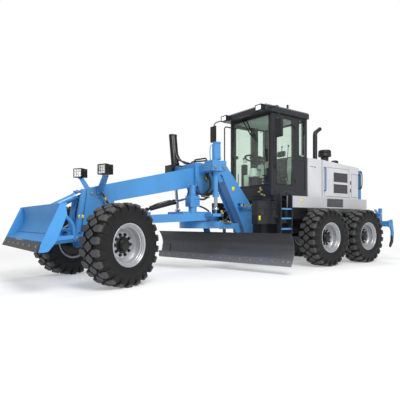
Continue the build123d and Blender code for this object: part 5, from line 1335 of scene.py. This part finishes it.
hose("hose_top_a", [(3693, -850, 2687), (3740, -790, 2560), (3800, -560, 2420), (3938, -150, 2330), (3760, -150, 2300),
                    (3567, -150, 2325), (3480, -150, 2300), (3430, -150, 2248)], 36, "front_chassis")
hose("hose_top_b", [(3662, -862, 2650), (3640, -780, 2500), (3720, -520, 2380), (3860, -200, 2300), (3700, -105, 2290),
                    (3560, -90, 2325), (3490, -90, 2310), (3440, -90, 2248)], 36, "front_chassis")
hose("hose_loop_a", [(3734, 262, 2192), (3655, 300, 2060), (3602, 330, 1906), (3590, 330, 1757), (3700, 330, 1640),
                     (3850, 330, 1600), (3985, 310, 1660), (4055, 265, 1800)], 42, "front_chassis")
hose("hose_loop_b", [(3600, 262, 2170), (3530, 300, 2090), (3482, 350, 1960), (3468, 350, 1800), (3540, 340, 1660),
                     (3681, 245, 1575)], 42, "front_chassis")
hose("hose_loop_c", [(4040, 262, 1760), (4040, 290, 1640), (3990, 310, 1540), (3812, 320, 1500), (3700, 310, 1520),
                     (3602, 245, 1567)], 42, "front_chassis")
hose("hose_loop_d", [(3510, 230, 2180), (3440, 290, 2080), (3400, 340, 1900), (3400, 350, 1760), (3480, 340, 1640),
                     (3620, 245, 1600)], 42, "front_chassis")
hose("hose_low", [(4058, 368, 1357), (3960, 372, 1378), (3877, 370, 1356), (3749, 360, 1319), (3645, 350, 1262)], 36,
     "drawbar")
hose("hose_side_a", [(3335, 420, 1212), (3380, 450, 1160), (3340, 470, 1060), (3200, 450, 1030), (3088, 380, 1024)], 28,
     "drawbar")
hose("hose_side_b", [(3345, 416, 1215), (3290, 440, 1290), (3210, 470, 1240), (3215, 460, 1130), (3307, 425, 1056)], 28,
     "drawbar")

# %% [markdown]
# ## Floor and backdrop
# The machine stands on a white sweep. Near it the floor is matt and keeps the soft shadow; further
# off it fades to the plain white of the backdrop, so no horizon shows.

# %% White floor
bm = bmesh.new()
bmesh.ops.create_grid(bm, x_segments=8, y_segments=8, size=120.0)
ground = bpy.data.meshes.new("floor")
bm.to_mesh(ground)
bm.free()
floor = bpy.data.objects.new("floor", ground)
scene.collection.objects.link(floor)
sweep, tree, shader, place = blank("white_sweep", Roughness=0.9, Base_Color=linear("#f6f6f6"))
away = add(tree, "VectorMath", {"operation": "LENGTH"}, None, {0: place}).outputs["Value"]
fade = add(tree, "MapRange", {"interpolation_type": "SMOOTHSTEP"}, {"From Min": 6.0, "From Max": 13.0},
           {"Value": away}).outputs[0]
rays = add(tree, "LightPath")
seen = add(tree, "Math", {"operation": "MAXIMUM"}, None,
           {0: rays.outputs["Is Camera Ray"], 1: rays.outputs["Is Glossy Ray"]}).outputs[0]
seen = add(tree, "Math", {"operation": "MAXIMUM"}, None,
           {0: seen, 1: rays.outputs["Is Transmission Ray"]}).outputs[0]
lifted = add(tree, "MapRange", None, {"To Min": 0.34, "To Max": 1.0}, {"Value": fade}).outputs[0]
share = add(tree, "Math", {"operation": "MULTIPLY"}, None, {0: lifted, 1: seen}).outputs[0]
glow = add(tree, "Emission", None, {"Color": (1, 1, 1, 1), "Strength": 1.0}).outputs[0]
blend = add(tree, "MixShader", None, None, {0: share, 1: shader.outputs[0], 2: glow}).outputs[0]
tree.links.new(blend, tree.nodes["Material Output"].inputs["Surface"])
ground.materials.append(sweep)

# %% [markdown]
# ## Sky and lamps
# The white sky gives most of the light and is brighter to the eye than to the paint. A broad lamp
# above the left front gives the plates their shape, and a weaker one behind lifts the roof and hood.

# %% Sky and lamps
world = bpy.data.worlds.new("studio")
scene.world = world
world.use_nodes = True
tree = world.node_tree
rays = add(tree, "LightPath")
seen = add(tree, "Math", {"operation": "MAXIMUM"}, None,
           {0: rays.outputs["Is Camera Ray"], 1: rays.outputs["Is Transmission Ray"]}).outputs[0]
strength = add(tree, "MapRange", None, {"To Min": 0.55, "To Max": 1.0}, {"Value": seen}).outputs[0]
sky = tree.nodes["Background"]
sky.inputs["Color"].default_value = (1, 1, 1, 1)
tree.links.new(strength, sky.inputs["Strength"])


def lamp(name, place, target, power, size):
    """Square soft lamp pointing at target."""
    light = bpy.data.lights.new(name, "AREA")
    light.energy = power
    light.size = size
    held = bpy.data.objects.new(name, light)
    held.location = place
    held.rotation_euler = (Vector(target) - Vector(place)).to_track_quat("-Z", "Y").to_euler()
    scene.collection.objects.link(held)


lamp("key", (4.0, 9.0, 10.0), (0, 0, 1), 1400, 6.0)
lamp("back", (-6.0, -5.0, 13.0), (0, 0, 1.5), 700, 6.0)
scene.view_settings.view_transform = "Standard"
print("floor and lamps are set")
